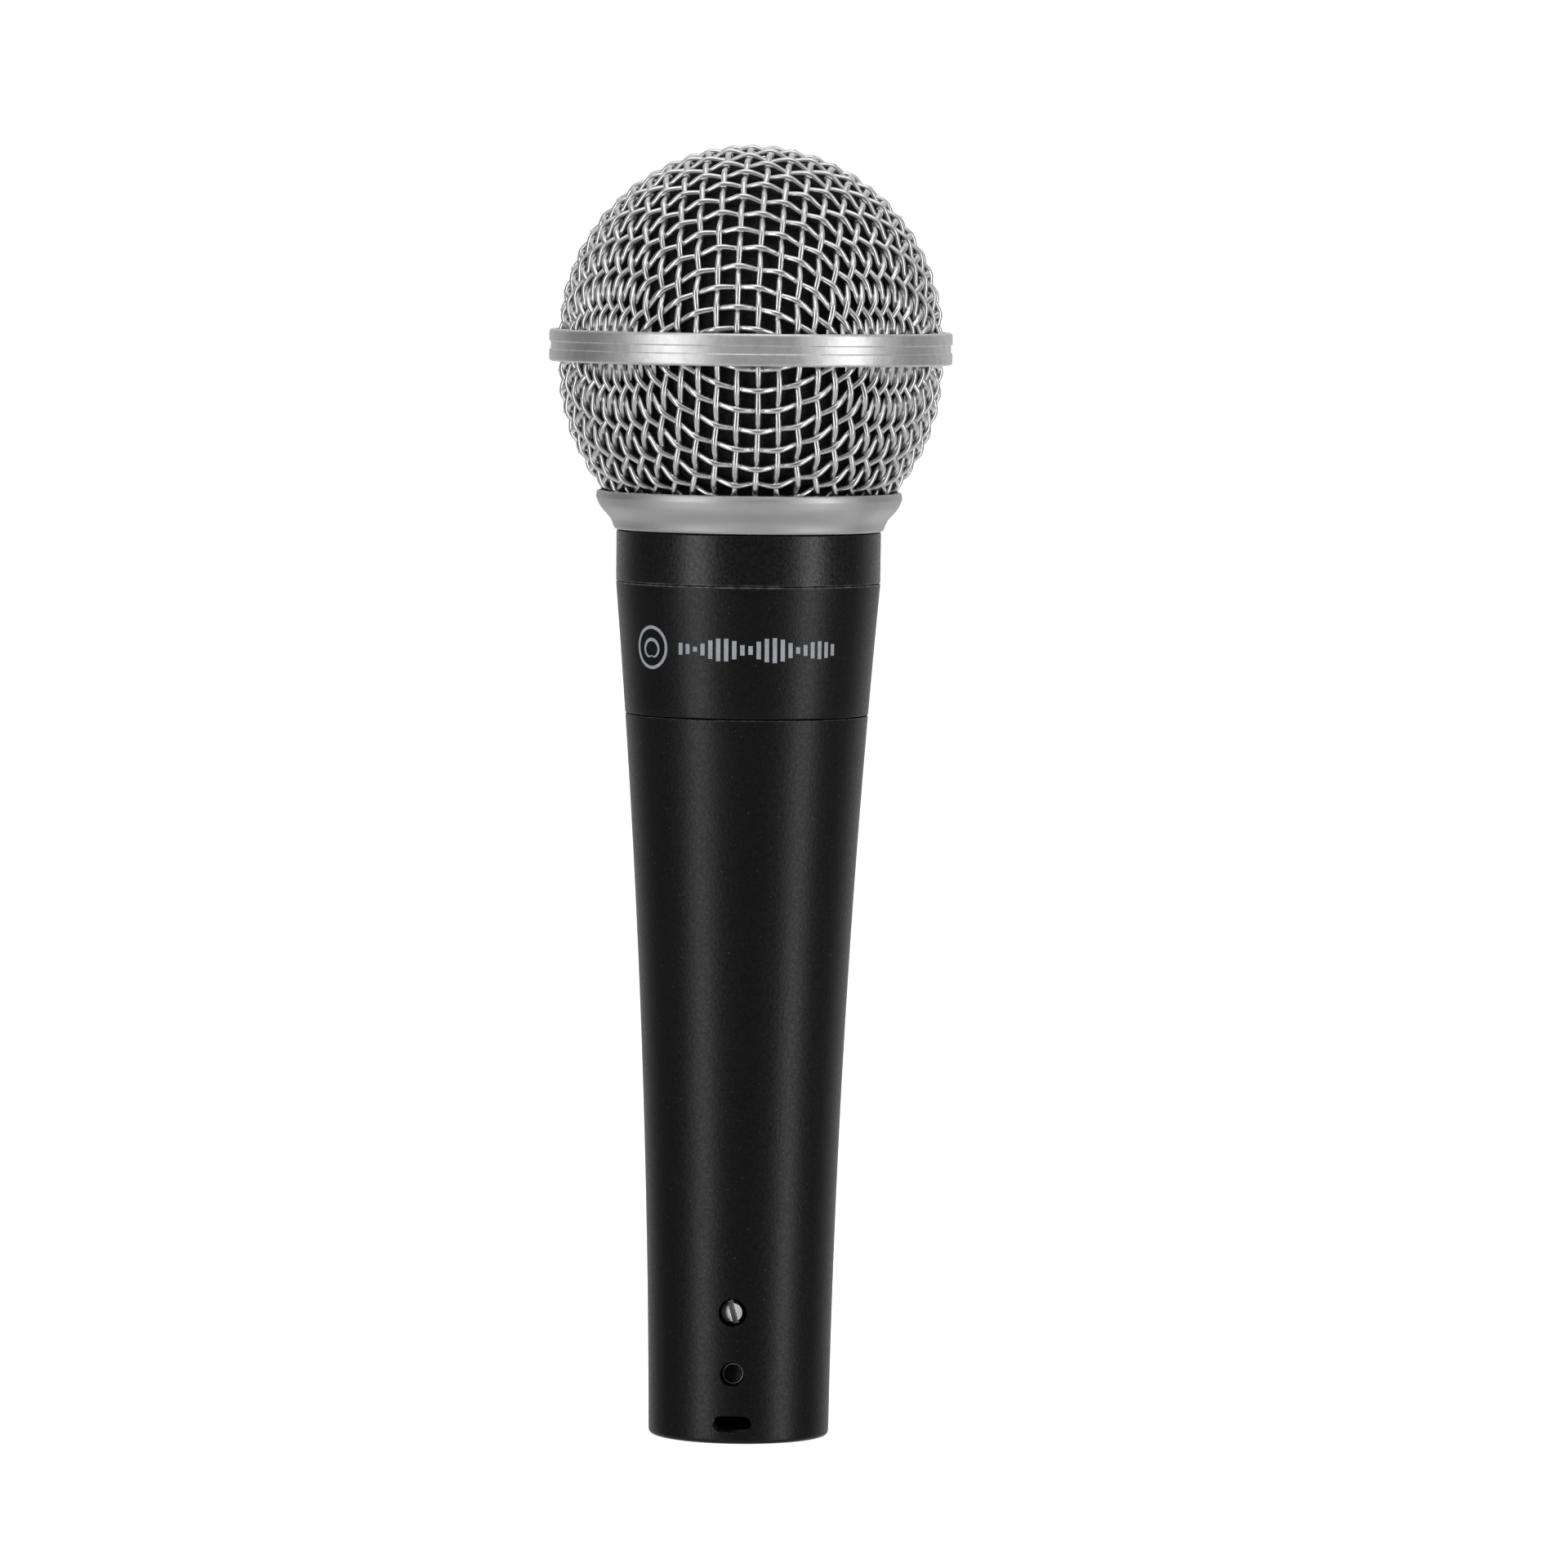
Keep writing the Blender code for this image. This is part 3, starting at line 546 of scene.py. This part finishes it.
def wire_line(points, signs, lift):
    """A smooth line through crossings on the sphere, over and under in turn."""
    line = []
    for k in range(len(points) - 1):
        length = np.linalg.norm(points[k])
        for m in range(STEPS_PER_CELL):
            t = m / STEPS_PER_CELL
            spot = catmull_rom(points, k, t)
            wave = 0.25 * (1 - 2 * t) + 0.75 * math.cos(math.pi * t)
            line.append(spot / np.linalg.norm(spot) * (length + lift * signs[k] * wave))
    last = points[-1]
    line.append(last * (1 + lift * signs[-1] / np.linalg.norm(last)))
    return line


def sweep(verts, faces, line, radius, sides):
    """Adds a round tube along a line over a sphere to the lists of vertices and faces."""
    line = np.array(line)
    tangents = np.gradient(line, axis=0)
    tangents /= np.linalg.norm(tangents, axis=1)[:, None]
    out = line / np.linalg.norm(line, axis=1)[:, None]
    across = np.cross(tangents, out)
    across /= np.linalg.norm(across, axis=1)[:, None]
    normal = np.cross(across, tangents)
    base = len(verts)
    for point, u, v in zip(line, across, normal):
        for k in range(sides):
            angle = 2 * math.pi * k / sides
            verts.append(point + radius * (math.cos(angle) * u + math.sin(angle) * v))
    for i in range(len(line) - 1):
        for k in range(sides):
            a, b = base + i * sides + k, base + i * sides + (k + 1) % sides
            faces.append((a, b, b + sides, a + sides))
    faces.append(tuple(base + k for k in reversed(range(sides))))
    end = base + (len(line) - 1) * sides
    faces.append(tuple(end + k for k in range(sides)))


def woven_cloth(name, centre_z, flip, z_low, z_high, turn, tilt):
    """Plain weave on a sphere, kept between two heights. flip turns its middle down.

    turn (degrees) turns the weave about the object's axis, and tilt (millimetres) moves its front up.
    """
    radius = CLOTH_RADIUS - 2 * WIRE_RADIUS
    facing = -1 if flip else 1
    c, s = math.cos(-tilt / radius), math.sin(-tilt / radius)
    leaning = np.array([[1, 0, 0], [0, c, -s], [0, s, c]])
    c, s = math.cos(math.radians(turn)), math.sin(math.radians(turn))
    turning = np.array([[c, -s, 0], [s, c, 0], [0, 0, 1]])
    random = np.random.default_rng(7 if flip else 11)
    net = {}
    for key, point in sorted(cloth_net(radius, WIRE_PITCH, WIRES_EACH_WAY).items()):
        moved = point * np.array([1, 1, facing]) + random.normal(0, PITCH_SCATTER, 3)
        moved = turning @ leaning @ moved
        net[key] = moved * radius / np.linalg.norm(moved)
    verts, faces = [], []
    span = range(-WIRES_EACH_WAY, WIRES_EACH_WAY + 1)
    for family in (0, 1):
        for fixed in span:
            run = []
            for step in span:
                key = (step, fixed) if family == 0 else (fixed, step)
                if key in net:
                    run.append((net[key], 1 if (step + fixed + family) % 2 else -1))
            if len(run) < 3:
                continue
            line = wire_line([p for p, _ in run], [s for _, s in run], WIRE_RADIUS)
            piece = []
            for point in line + [None]:
                if point is not None and z_low <= centre_z + point[2] <= z_high:
                    piece.append(point)
                    continue
                if len(piece) > 3:
                    sweep(verts, faces, piece, WIRE_RADIUS, WIRE_SIDES)
                piece = []
    points = np.array(verts)
    points[:, 2] += centre_z
    mesh = bpy.data.meshes.new(name)
    mesh.from_pydata((points * MM).tolist(), [], faces)
    mesh.update()
    return new_object(name, mesh, WIRE)


IN_BAND = 0.4  # the wires end this far from the band's middle
IN_COLLAR = 1.0
dome_top = DOME_CENTRE_Z + 2 * CLOTH_RADIUS
dome = woven_cloth("wire_dome", DOME_CENTRE_Z, False, BAND_Z + IN_BAND, dome_top, DOME_TURN, DOME_TILT)
finish_piece(dome, "grille", ["mesh_dome"])
bowl_low, bowl_high = COLLAR_TOP - IN_COLLAR, BAND_Z - IN_BAND
bowl = woven_cloth("wire_bowl", BOWL_CENTRE_Z, True, bowl_low, bowl_high, BOWL_TURN, BOWL_TILT)
finish_piece(bowl, "grille", ["mesh_bowl"])


# ---------------------------------------------------------------- foam


CAP_THICKNESS = 2.4
SKIRT_THICKNESS = 2.0


def foam_cap(name):
    """The dome's lining: an outer and an inner cap joined at the rim."""
    outer = high("foam_dome").x
    below_centre = DOME_CENTRE_Z - low("foam_dome").z
    steps = 32
    profile = []
    for radius, shares in ((outer, range(steps + 1)), (outer - CAP_THICKNESS, range(steps, -1, -1))):
        sweep_angle = math.pi / 2 + math.asin(below_centre / radius)
        for k in shares:
            angle = math.pi / 2 - sweep_angle * k / steps
            r = max(radius * math.cos(angle), 0.02)
            profile.append((r, DOME_CENTRE_Z + radius * math.sin(angle)))
    return lathe(name, profile, FOAM, 128, sharp=60)


def foam_skirt(name):
    """The bowl's lining: a part of a hollow ball between two heights."""
    outer = high("foam_skirt").x
    top, bottom = high("foam_skirt").z, low("foam_skirt").z
    steps = 39
    heights = [top + (bottom - top) * k / steps for k in range(steps + 1)]
    profile = [(math.sqrt(outer**2 - (z - BOWL_CENTRE_Z) ** 2), z) for z in heights]
    inner = outer - SKIRT_THICKNESS
    profile += [(math.sqrt(inner**2 - (z - BOWL_CENTRE_Z) ** 2), z) for z in reversed(heights)]
    return lathe(name, profile, FOAM, 160, sharp=60)


cap = foam_cap("foam_cap_lining")
finish_piece(cap, "foam", ["foam_dome"])
skirt = foam_skirt("foam_skirt_lining")
finish_piece(skirt, "foam", ["foam_skirt"])


# ---------------------------------------------------------------- band and collar


def band_piece():
    """A flat ring with rounded edges and a shallow groove along its middle."""
    top, bottom = BAND_Z + BAND_HEIGHT / 2, BAND_Z - BAND_HEIGHT / 2
    inner = 24.6
    edge, groove_edge, groove_corner = 0.45, 0.08, 0.06
    groove, slope = 0.55, 0.08
    outer, sunk = BAND_RADIUS, BAND_RADIUS - 0.2
    corners = [
        (inner, top, 0.12), (outer, top, edge),
        (outer, BAND_Z + groove, groove_edge), (sunk, BAND_Z + groove - slope, groove_corner),
        (sunk, BAND_Z - groove + slope, groove_corner), (outer, BAND_Z - groove, groove_edge),
        (outer, bottom, edge), (inner, bottom, 0.12),
    ]
    return lathe("band_ring", rounded(corners, 5), BAND_SILVER, 256, sharp=50)


finish_piece(band_piece(), "grille", ["grille_band"])


def smooth_through(points, per_span=5):
    """A smooth line through points (r, z)."""
    corners = [Vector(point) for point in points]
    spans = range(len(points) - 1)
    line = [catmull_rom(corners, i, k / per_span).to_tuple() for i in spans for k in range(per_span)]
    return line + [points[-1]]


def collar_piece():
    """A ring that flares out upwards, with a narrow lip round the bowl."""
    foot, top = COLLAR_BOTTOM, COLLAR_TOP
    bore = 15.5
    lip = [(18.95, top - 0.12), (19.02, top), (19.2, top - 0.05), (19.3, top - 0.2)]
    flare = [
        (19.34, foot + 4.45), (19.38, foot + 4.1), (19.2, foot + 3.6), (18.9, foot + 2.95),
        (18.45, foot + 2.35), (17.95, foot + 1.8), (17.55, foot + 1.3), (17.3, foot + 0.8),
        (17.12, foot + 0.3), (16.98, foot + 0.06),
    ]
    inside = [(16.85, foot), (bore + 0.05, foot), (bore, foot + 0.1), (bore, top - 1.7)]
    inside += [(18.0, top - 1.7), (18.6, top - 0.9)]
    return lathe("collar_ring", lip + smooth_through(flare) + inside, COLLAR_SILVER, 256, sharp=50)


def gasket_piece():
    """A thin black ring between the collar's lip and the bowl."""
    top = COLLAR_TOP
    section = [(18.9, top - 0.25, 0.1), (18.6, top - 0.85, 0.1), (17.95, top - 1.6, 0.05)]
    section += [(17.2, top - 1.6, 0.05), (18.3, top - 0.45, 0.1)]
    black = simple("gasket_black", (0.008, 0.008, 0.008), 0.7)
    return lathe("collar_gasket", rounded(section, 3), black, 192)


finish_piece(collar_piece(), "grille", ["grille_collar"])
finish_piece(gasket_piece(), "grille")


# ---------------------------------------------------------------- handle


CUT_FROM, CUT_TO = -14, -8.5  # the openings are cut between these two y


def taper_profile(top, bottom, count):
    heights = [top + (bottom - top) * k / (count - 1) for k in range(count)]
    return [(handle_radius(z), z) for z in heights]


def cutter_object(mesh):
    obj = bpy.data.objects.new("cutter", mesh)
    bpy.context.scene.collection.objects.link(obj)
    return obj


def cut_with(target, cutters):
    """Cuts solids out of a piece, and removes them."""
    for cutter in cutters:
        modifier = target.modifiers.new("cut", "BOOLEAN")
        modifier.operation = "DIFFERENCE"
        modifier.solver = "EXACT"
        modifier.object = cutter
    depsgraph = bpy.context.evaluated_depsgraph_get()
    mesh = bpy.data.meshes.new_from_object(target.evaluated_get(depsgraph))
    target.modifiers.clear()
    target.data = mesh
    for cutter in cutters:
        bpy.data.objects.remove(cutter)


def slot_cutter(width, height, z, flare, steps=12):
    """A cutter along Y whose section is a slot or a circle, a little wider at the outer end."""
    shape = bmesh.new()
    rings = []
    surface = -handle_radius(z)
    straight = (width - height) / 2
    for y, grow in ((CUT_FROM, flare), (surface - 0.02, flare), (surface + flare, 0), (CUT_TO, 0)):
        radius = height / 2 + grow
        ring = []
        for k in range(4 * steps):
            angle = 2 * math.pi * (k + 0.5) / (4 * steps)
            x = radius * math.cos(angle) + math.copysign(straight, math.cos(angle))
            ring.append(shape.verts.new((x * MM, y * MM, (z + radius * math.sin(angle)) * MM)))
        rings.append(ring)
    for here, there in zip(rings, rings[1:]):
        for k in range(len(here)):
            j = (k + 1) % len(here)
            shape.faces.new((here[k], here[j], there[j], there[k]))
    shape.faces.new(rings[0])
    shape.faces.new(rings[-1])
    return cutter_object(closed_mesh("cutter", shape))


def main_handle_piece():
    """The tapered tube: a joint edge on top, a rounded rim at its foot, and a bore that widens upwards."""
    top = SEAM_Z - 0.08
    edge = handle_radius(top)
    outside = rounded([(edge - 1.2, top, 0), (edge, top, 0.2), (handle_radius(top - 2), top - 2, 0)], 4)
    outside += taper_profile(top - 3, 1.2, 60)
    rim = rounded([(BASE_RADIUS, 1.2, 0), (BASE_RADIUS, 0, 0.7), (10.0, 0, 0.25), (9.6, 0.6, 0)], 6)
    inside = [(9.6, 1.0), (9.6, 26.0)]
    inside += [(handle_radius(z) - WALL, z) for z in (27.0, 56.0)]
    inside += [(handle_radius(85) - WALL, 85.1), (THREAD_BORE, 85.8), (THREAD_BORE, top)]
    piece = lathe("handle_tube", outside + rim[1:-1] + inside, LOWER_BLACK, 256, sharp=40)
    cut_with(piece, [slot_cutter(*hole) for hole in (SCREW_HOLE, TEST_HOLE, LATCH_WINDOW)])
    return piece


def upper_handle_piece():
    """The short tube, with a thin neck that takes the grille and a stem that goes into the main tube."""
    bottom, top = SEAM_Z + 0.05, SHOULDER_Z - 0.04
    neck_top = 119.4
    neck = [(15.0, neck_top), (NECK_THREAD_RADIUS, neck_top - 0.1), (NECK_THREAD_RADIUS, top)]
    shoulder = [(16.0, top, 0), (handle_radius(top), top, 0.22), (handle_radius(top - 2), top - 2, 0)]
    foot = [(handle_radius(bottom + 2), bottom + 2, 0), (handle_radius(bottom), bottom, 0.12)]
    foot += [(14, bottom, 0)]
    outside = neck + rounded(shoulder, 4) + taper_profile(top - 2.5, bottom + 2.5, 16) + rounded(foot, 3)
    stem = [(STEM_THREAD_RADIUS, bottom), (STEM_THREAD_RADIUS, 86.2), (12.6, 85.8), (11.4, 85.8)]
    bore = [(11.4, 96.0), (13.4, 98.5), (13.4, neck_top)]
    return lathe("upper_tube", outside + stem + bore, UPPER_BLACK, 256, sharp=40)


def neck_ring_piece():
    bottom, top = SHOULDER_Z + 0.04, high("neck_ring").z
    outer, inner = NECK_RADIUS, 15.3
    corners = [(inner, top, 0.1), (outer, top, 0.18), (outer - 0.02, bottom, 0.1), (inner, bottom, 0.1)]
    return lathe("neck_band", rounded(corners, 4), RING_BLACK, 256, sharp=50)


finish_piece(main_handle_piece(), "handle", ["main_handle"])
finish_piece(upper_handle_piece(), "upper_handle", ["upper_handle"])
finish_piece(neck_ring_piece(), "neck", ["neck_ring"])


# ---------------------------------------------------------------- print


PRINT_INK = Finish("print_ink", (0.52, 0.55, 0.61), 0.55)
PRINT_INK.bump(PRINT_INK.noise(4.0, 2.0), 0.004, 0.4)
PRINT_INK.vary_colour(PRINT_INK.noise(0.8, 2.0), 0.4, 0.8, (0.42, 0.45, 0.51))


def on_handle(across, z, lift=0.03):
    """A point on the upper handle, by the distance along its surface from the front."""
    radius = handle_radius(z)
    angle = across / radius
    return Vector(((radius + lift) * math.sin(angle), -(radius + lift) * math.cos(angle), z)) * MM


PRINT_Z = 100.5
EMBLEM_ACROSS = -12.3  # the emblem's middle, left of the front
EMBLEM_RADIUS = 2.75
LINE_WIDTH = 0.42
BARS = 21
BAR_WIDTH, BAR_PITCH = 0.56, 1.02


def printed_mark():
    """A generic print: a heart-shaped pickup pattern in a thin circle, and a row of level bars."""
    shape = bmesh.new()

    def patch(grid):
        rows = [[shape.verts.new(on_handle(a, z)) for a, z in row] for row in grid]
        for here, there in zip(rows, rows[1:]):
            for k in range(len(here) - 1):
                shape.faces.new((here[k], here[k + 1], there[k + 1], there[k]))

    def loop(middle_z, radii):
        """A closed line. radii gives its outer and inner radius at an angle from the top."""
        steps = 96
        angles = [2 * math.pi * n / steps for n in range(steps + 1)]
        for pair in zip(angles, angles[1:]):
            grid = []
            for angle in pair:
                across, up = math.sin(angle), math.cos(angle)
                grid.append([(EMBLEM_ACROSS + r * across, middle_z + r * up) for r in radii(angle)])
            patch(grid)

    def circle(_angle):
        return EMBLEM_RADIUS, EMBLEM_RADIUS - LINE_WIDTH

    def heart(angle):
        reach = 0.15 + 1.0 * (1 + math.cos(angle))
        return reach, max(reach - LINE_WIDTH, 0.03)

    loop(PRINT_Z, circle)
    loop(PRINT_Z - 0.95, heart)
    for k in range(BARS):
        along = k / (BARS - 1)
        swell = math.sin(math.pi * (0.08 + 0.84 * along)) ** 0.6
        height = 0.6 + 2.6 * abs(math.sin(2.2 + 9.5 * along)) * swell
        left = EMBLEM_ACROSS + 4.5 + BAR_PITCH * k
        bottom = PRINT_Z - height / 2
        patch([[(left + BAR_WIDTH * u, bottom + height * v / 2) for u in (0, 1)] for v in (0, 1, 2)])
    return new_object("printed_mark", closed_mesh("printed_mark", shape), PRINT_INK.material)


finish_piece(printed_mark(), "upper_handle")


# ---------------------------------------------------------------- threads


THREAD_PITCH = 1.0


def thread(name, radius, z_low, z_high, height):
    """A helical ridge with a triangular section, which fades out at both ends."""
    verts, faces = [], []
    turns = (z_high - z_low) / THREAD_PITCH
    steps = int(turns * 64)
    fade_steps = 24
    foot, half_width = radius - 0.05, 0.38 * THREAD_PITCH
    for k in range(steps + 1):
        angle = 2 * math.pi * turns * k / steps
        z = z_low + (z_high - z_low) * k / steps
        crest = radius + height * min(1, k / fade_steps, (steps - k) / fade_steps)
        for r, dz in ((foot, -half_width), (crest, 0), (foot, half_width)):
            verts.append((r * MM * math.cos(angle), r * MM * math.sin(angle), (z + dz) * MM))
    for k in range(steps):
        a = 3 * k
        for i in range(3):
            j = (i + 1) % 3
            faces.append((a + i, a + 3 + i, a + 3 + j, a + j))
    faces += [(0, 1, 2), (3 * steps + 2, 3 * steps + 1, 3 * steps)]
    mesh = bpy.data.meshes.new(name)
    mesh.from_pydata(verts, [], faces)
    mesh.update()
    return new_object(name, mesh, RING_BLACK, smooth=False)


stem_thread = thread("handle_thread", STEM_THREAD_RADIUS, 86.3, 91.0, 0.24)
neck_thread = thread("neck_thread", NECK_THREAD_RADIUS, 115.6, 118.9, 0.28)
for ridge in (stem_thread, neck_thread):
    finish_piece(ridge, "upper_handle")


# ---------------------------------------------------------------- materials of the small and inner pieces


STEEL = simple("screw_steel", (0.66, 0.65, 0.63), 0.32, 1.0, 2.0, 0.02)
SCREW_FACE = simple("screw_face", (0.66, 0.66, 0.65), 0.40, 1.0, 2.0, 0.02, 0.85)
SCREW_SLOT = simple("screw_slot", (0.66, 0.66, 0.65), 0.50, 1.0, 3.0, 0.02)
DARK_PLASTIC = simple("dark_plastic", (0.012, 0.012, 0.012), 0.5)
CASTING = simple("black_casting", (0.012, 0.012, 0.012), 0.45, 0.0, 1.5, 0.02)
RUBBER = simple("rubber", (0.015, 0.015, 0.015), 0.8, 0.0, 2.5, 0.02)
MAGNET = simple("magnet_plating", (0.62, 0.61, 0.58), 0.22, 1.0)
COPPER = simple("copper_winding", (0.72, 0.33, 0.18), 0.35, 1.0, 6.0, 0.02)
FILM = simple("film", (0.72, 0.68, 0.56), 0.25)
CLOTH = simple("acoustic_cloth", (0.03, 0.03, 0.03), 0.95, 0.0, 4.0, 0.05)
BOARD = simple("board", (0.03, 0.14, 0.05), 0.4)
PLATING = simple("contact_plating", (0.80, 0.78, 0.72), 0.22, 1.0)
RED = simple("red_sleeve", (0.45, 0.02, 0.02), 0.45)
WHITE = simple("white_sleeve", (0.65, 0.64, 0.62), 0.45)
# A painted highlight: brighter metal for the test hole's edge, where light catches it.
EDGE_HIGHLIGHT_METAL = simple("painted_edge_highlight", (0.34, 0.34, 0.34), 0.42, 1.0, 2.0, 0.02)


# ---------------------------------------------------------------- set screw and test hole


SCREW_SET_BACK = 0.26  # how far the worn face lies inside the CAD screw's face
SCREW_CHAMFER = 0.34
SCREW_LEAN = 0.22  # how much the face turns to the left, for each millimetre across
SLOT_BOX = (0.7, 1.3, 6)  # width, depth and length of the box that cuts the slot
SLOT_TILT = 16


def set_screw_piece():
    """The slotted screw: a chamfered end whose worn face leans a little to the left."""
    lowest, highest = low("set_screw"), high("set_screw")
    radius = (highest.x - lowest.x) / 2
    centre_z = (highest.z + lowest.z) / 2
    flat = radius - SCREW_CHAMFER
    length = highest.y - lowest.y
    face_y = lowest.y + SCREW_SET_BACK
    outline = [(0.0, 0.0)] + [(flat * k / 6, -0.03 * (k / 6) ** 2) for k in range(1, 7)]
    outline += [(radius, -0.44), (radius, -length + 0.7), (0.7, -length + 0.3), (0.0, -length + 0.3)]
    shape = bmesh.new()
    steps = 48
    rings = []
    for r, depth in outline:
        ring = []
        for k in range(steps if r > 0 else 1):
            angle = 2 * math.pi * k / steps
            x, z = r * math.cos(angle), r * math.sin(angle)
            lean = -SCREW_LEAN * x if depth > -0.2 else 0
            y = face_y - depth + lean
            ring.append(shape.verts.new((x * MM, y * MM, (centre_z + z) * MM)))
        rings.append(ring)
    for here, there in zip(rings, rings[1:]):
        for k in range(steps):
            j = (k + 1) % steps
            near = (here[k % len(here)], here[j % len(here)])
            far = (there[j % len(there)], there[k % len(there)])
            shape.faces.new(tuple(dict.fromkeys(near + far)))
    screw = new_object("screw_body", closed_mesh("screw_body", shape, 30), SCREW_FACE)

    slot = bmesh.new()
    bmesh.ops.create_cube(slot, size=1)
    tilt = Matrix.Rotation(math.radians(SLOT_TILT), 4, "Y").inverted()
    place = Matrix.Translation(Vector((0, lowest.y + 0.4, centre_z)) * MM)
    size = Matrix.Diagonal((*(side * MM for side in SLOT_BOX), 1))
    bmesh.ops.transform(slot, matrix=place @ tilt @ size, verts=slot.verts)
    cut_with(screw, [cutter_object(closed_mesh("cutter", slot))])

    screw.data.materials.append(SCREW_SLOT)
    slot_floor = ((lowest.y + 0.7) * MM, (lowest.y + 1.2) * MM)
    for face in screw.data.polygons:
        if slot_floor[0] < face.center.y < slot_floor[1] and abs(face.normal.y) > 0.9:
            face.material_index = 1
    return screw


def hole_edge(name, z, radius, thickness):
    """A thin ring of brighter metal round an axis along Y, at the edge of a hole in the connector's sleeve:
    a painted highlight of light caught on the hole's edge.
    """
    y = low("connector_shell").y
    verts, faces = [], []
    around, sides = 48, 8
    for k in range(around):
        angle = 2 * math.pi * k / around
        for m in range(sides):
            turn = 2 * math.pi * m / sides
            r = radius + thickness * math.cos(turn)
            x = r * math.cos(angle)
            back = abs(y) - math.sqrt(y * y - x * x)
            spot = (x, y + back + thickness * math.sin(turn), z + r * math.sin(angle))
            verts.append([value * MM for value in spot])
    for k in range(around):
        for m in range(sides):
            a, b = k * sides, (k + 1) % around * sides
            n = (m + 1) % sides
            faces.append((a + m, a + n, b + n, b + m))
    mesh = bpy.data.meshes.new(name)
    mesh.from_pydata(verts, [], faces)
    mesh.update()
    return new_object(name, mesh, EDGE_HIGHLIGHT_METAL)


finish_piece(set_screw_piece(), "screw", ["set_screw"])
# The ring is a painted highlight on the test hole's edge.
edge_ring = hole_edge("test_hole_edge", z=TEST_HOLE[2], radius=1.27, thickness=0.13)
finish_piece(edge_ring, "handle")


# ---------------------------------------------------------------- leads


SLEEVE_RADIUS = 0.55
BARE_RADIUS = 0.34
BARE_LENGTH = 3.6
TWISTS = 4 - 1 / 6
TWIST_RADIUS = 1.1
SLACK = 1.5
LUG_OVERLAP = 1.4  # how far a lead's end goes down beside its lug
CUP_DEPTH = 1.0  # how far its other end goes into the pin's cup


def lead_route(side):
    """Points down one lead of a loosely twisted pair, from the outer face of its lug into its pin's cup."""
    pins = [(low(name) + high(name)) / 2 for name in ("connector_pin_2", "connector_pin_3")]
    between, apart = (pins[0] + pins[1]) / 2, (pins[0] - pins[1]).xy.length / 2
    lug_low, lug_high = low("solder_lug_hot"), high("solder_lug_hot")
    lug_x = (lug_low.x + lug_high.x) / 2
    beside_lug = lug_high.x + BARE_RADIUS + 0.05
    cup_top = high("connector_pin_2").z
    top, bottom = high("hot_lead").z - 0.1, cup_top + 0.4
    lug_end, cup_end = lug_high.z - LUG_OVERLAP, cup_top - CUP_DEPTH
    count = 90
    points = []
    for k in range(count):
        along = k / (count - 1)
        parting = abs(2 * along - 1) ** 6  # 1 at both ends, where the leads part
        radius = TWIST_RADIUS + ((lug_x if along < 0.5 else apart) - TWIST_RADIUS) * parting
        angle = 2 * math.pi * TWISTS * along
        slack = SLACK * math.sin(math.pi * along)
        x = between.x * along + slack * math.sin(5 * along) + side * radius * math.cos(angle)
        y = between.y * along - slack * math.sin(7 * along) + side * radius * math.sin(angle)
        outward = max(0, 1 - along / 0.06) ** 2 * (beside_lug - lug_x)
        points.append(Vector((x + side * outward, y, top + (bottom - top) * along)))
    first, last = points[0], points[-1]
    soldered = [Vector((first.x, first.y, lug_end + (first.z - lug_end) * k / 4)) for k in range(4)]
    in_cup = [Vector((last.x, last.y, last.z + (cup_end - last.z) * k / 3)) for k in range(1, 4)]
    return soldered + points + in_cup


def tube_mesh(name, route, sleeved):
    """A capped round tube through points, thinner where sleeved(z) is false."""
    curve = bpy.data.curves.new(name, "CURVE")
    curve.dimensions = "3D"
    curve.bevel_depth = SLEEVE_RADIUS * MM
    curve.bevel_resolution = 4
    curve.use_fill_caps = True
    spline = curve.splines.new("POLY")
    spline.points.add(len(route) - 1)
    for point, spot in zip(spline.points, route):
        point.co = (*(spot * MM), 1)
        point.radius = 1 if sleeved(spot.z) else BARE_RADIUS / SLEEVE_RADIUS
    tube = bpy.data.objects.new(name, curve)
    bpy.context.scene.collection.objects.link(tube)
    depsgraph = bpy.context.evaluated_depsgraph_get()
    open_mesh = bpy.data.meshes.new_from_object(tube.evaluated_get(depsgraph))
    bpy.data.objects.remove(tube)
    shape = bmesh.new()
    shape.from_mesh(open_mesh)
    bpy.data.meshes.remove(open_mesh)
    bmesh.ops.remove_doubles(shape, verts=shape.verts, dist=0.01 * MM)
    return closed_mesh(name, shape)


def lead_piece(name, side, sleeve, node):
    """A sleeved lead with bare tinned ends at its lug and its pin."""
    route = lead_route(side)
    sleeve_top, sleeve_bottom = route[0].z - BARE_LENGTH, route[-1].z + BARE_LENGTH

    def sleeved(z):
        return sleeve_bottom < z < sleeve_top

    mesh = tube_mesh(name, route, sleeved)
    lead = new_object(name, mesh, sleeve)
    mesh.materials.append(PLATING)
    for face in mesh.polygons:
        face.material_index = 0 if sleeved(face.center.z / MM) else 1
    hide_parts(node)
    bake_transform(lead)


lead_piece("hot_sleeve", 1, RED, "hot_lead")
lead_piece("cold_sleeve", -1, WHITE, "cold_lead")


# ---------------------------------------------------------------- CAD nodes that stay


LOOKS = (
    (STEEL, ("yoke_cup", "pole_plate")),
    (MAGNET, ("magnet",)),
    (COPPER, ("voice_coil",)),
    (FILM, ("diaphragm",)),
    (CLOTH, ("cap_screen", "stem_felt")),
    (BOARD, ("terminal_board",)),
    (CASTING, ("connector_shell",)),
    (RUBBER, ("shock_mount",)),
    (DARK_PLASTIC, ("connector_insulator", "capsule_housing", "capsule_cap")),
    (DARK_PLASTIC, ("motor_spacer", "diaphragm_ring")),
    (PLATING, ("connector_pin_1", "connector_pin_2", "connector_pin_3", "ground_contact")),
    (PLATING, ("solder_lug_hot", "solder_lug_cold")),
)
for look, names in LOOKS:
    for name in names:
        for slot in nodes[name].material_slots:
            slot.material = look


# ---------------------------------------------------------------- end


bpy.context.view_layer.update()
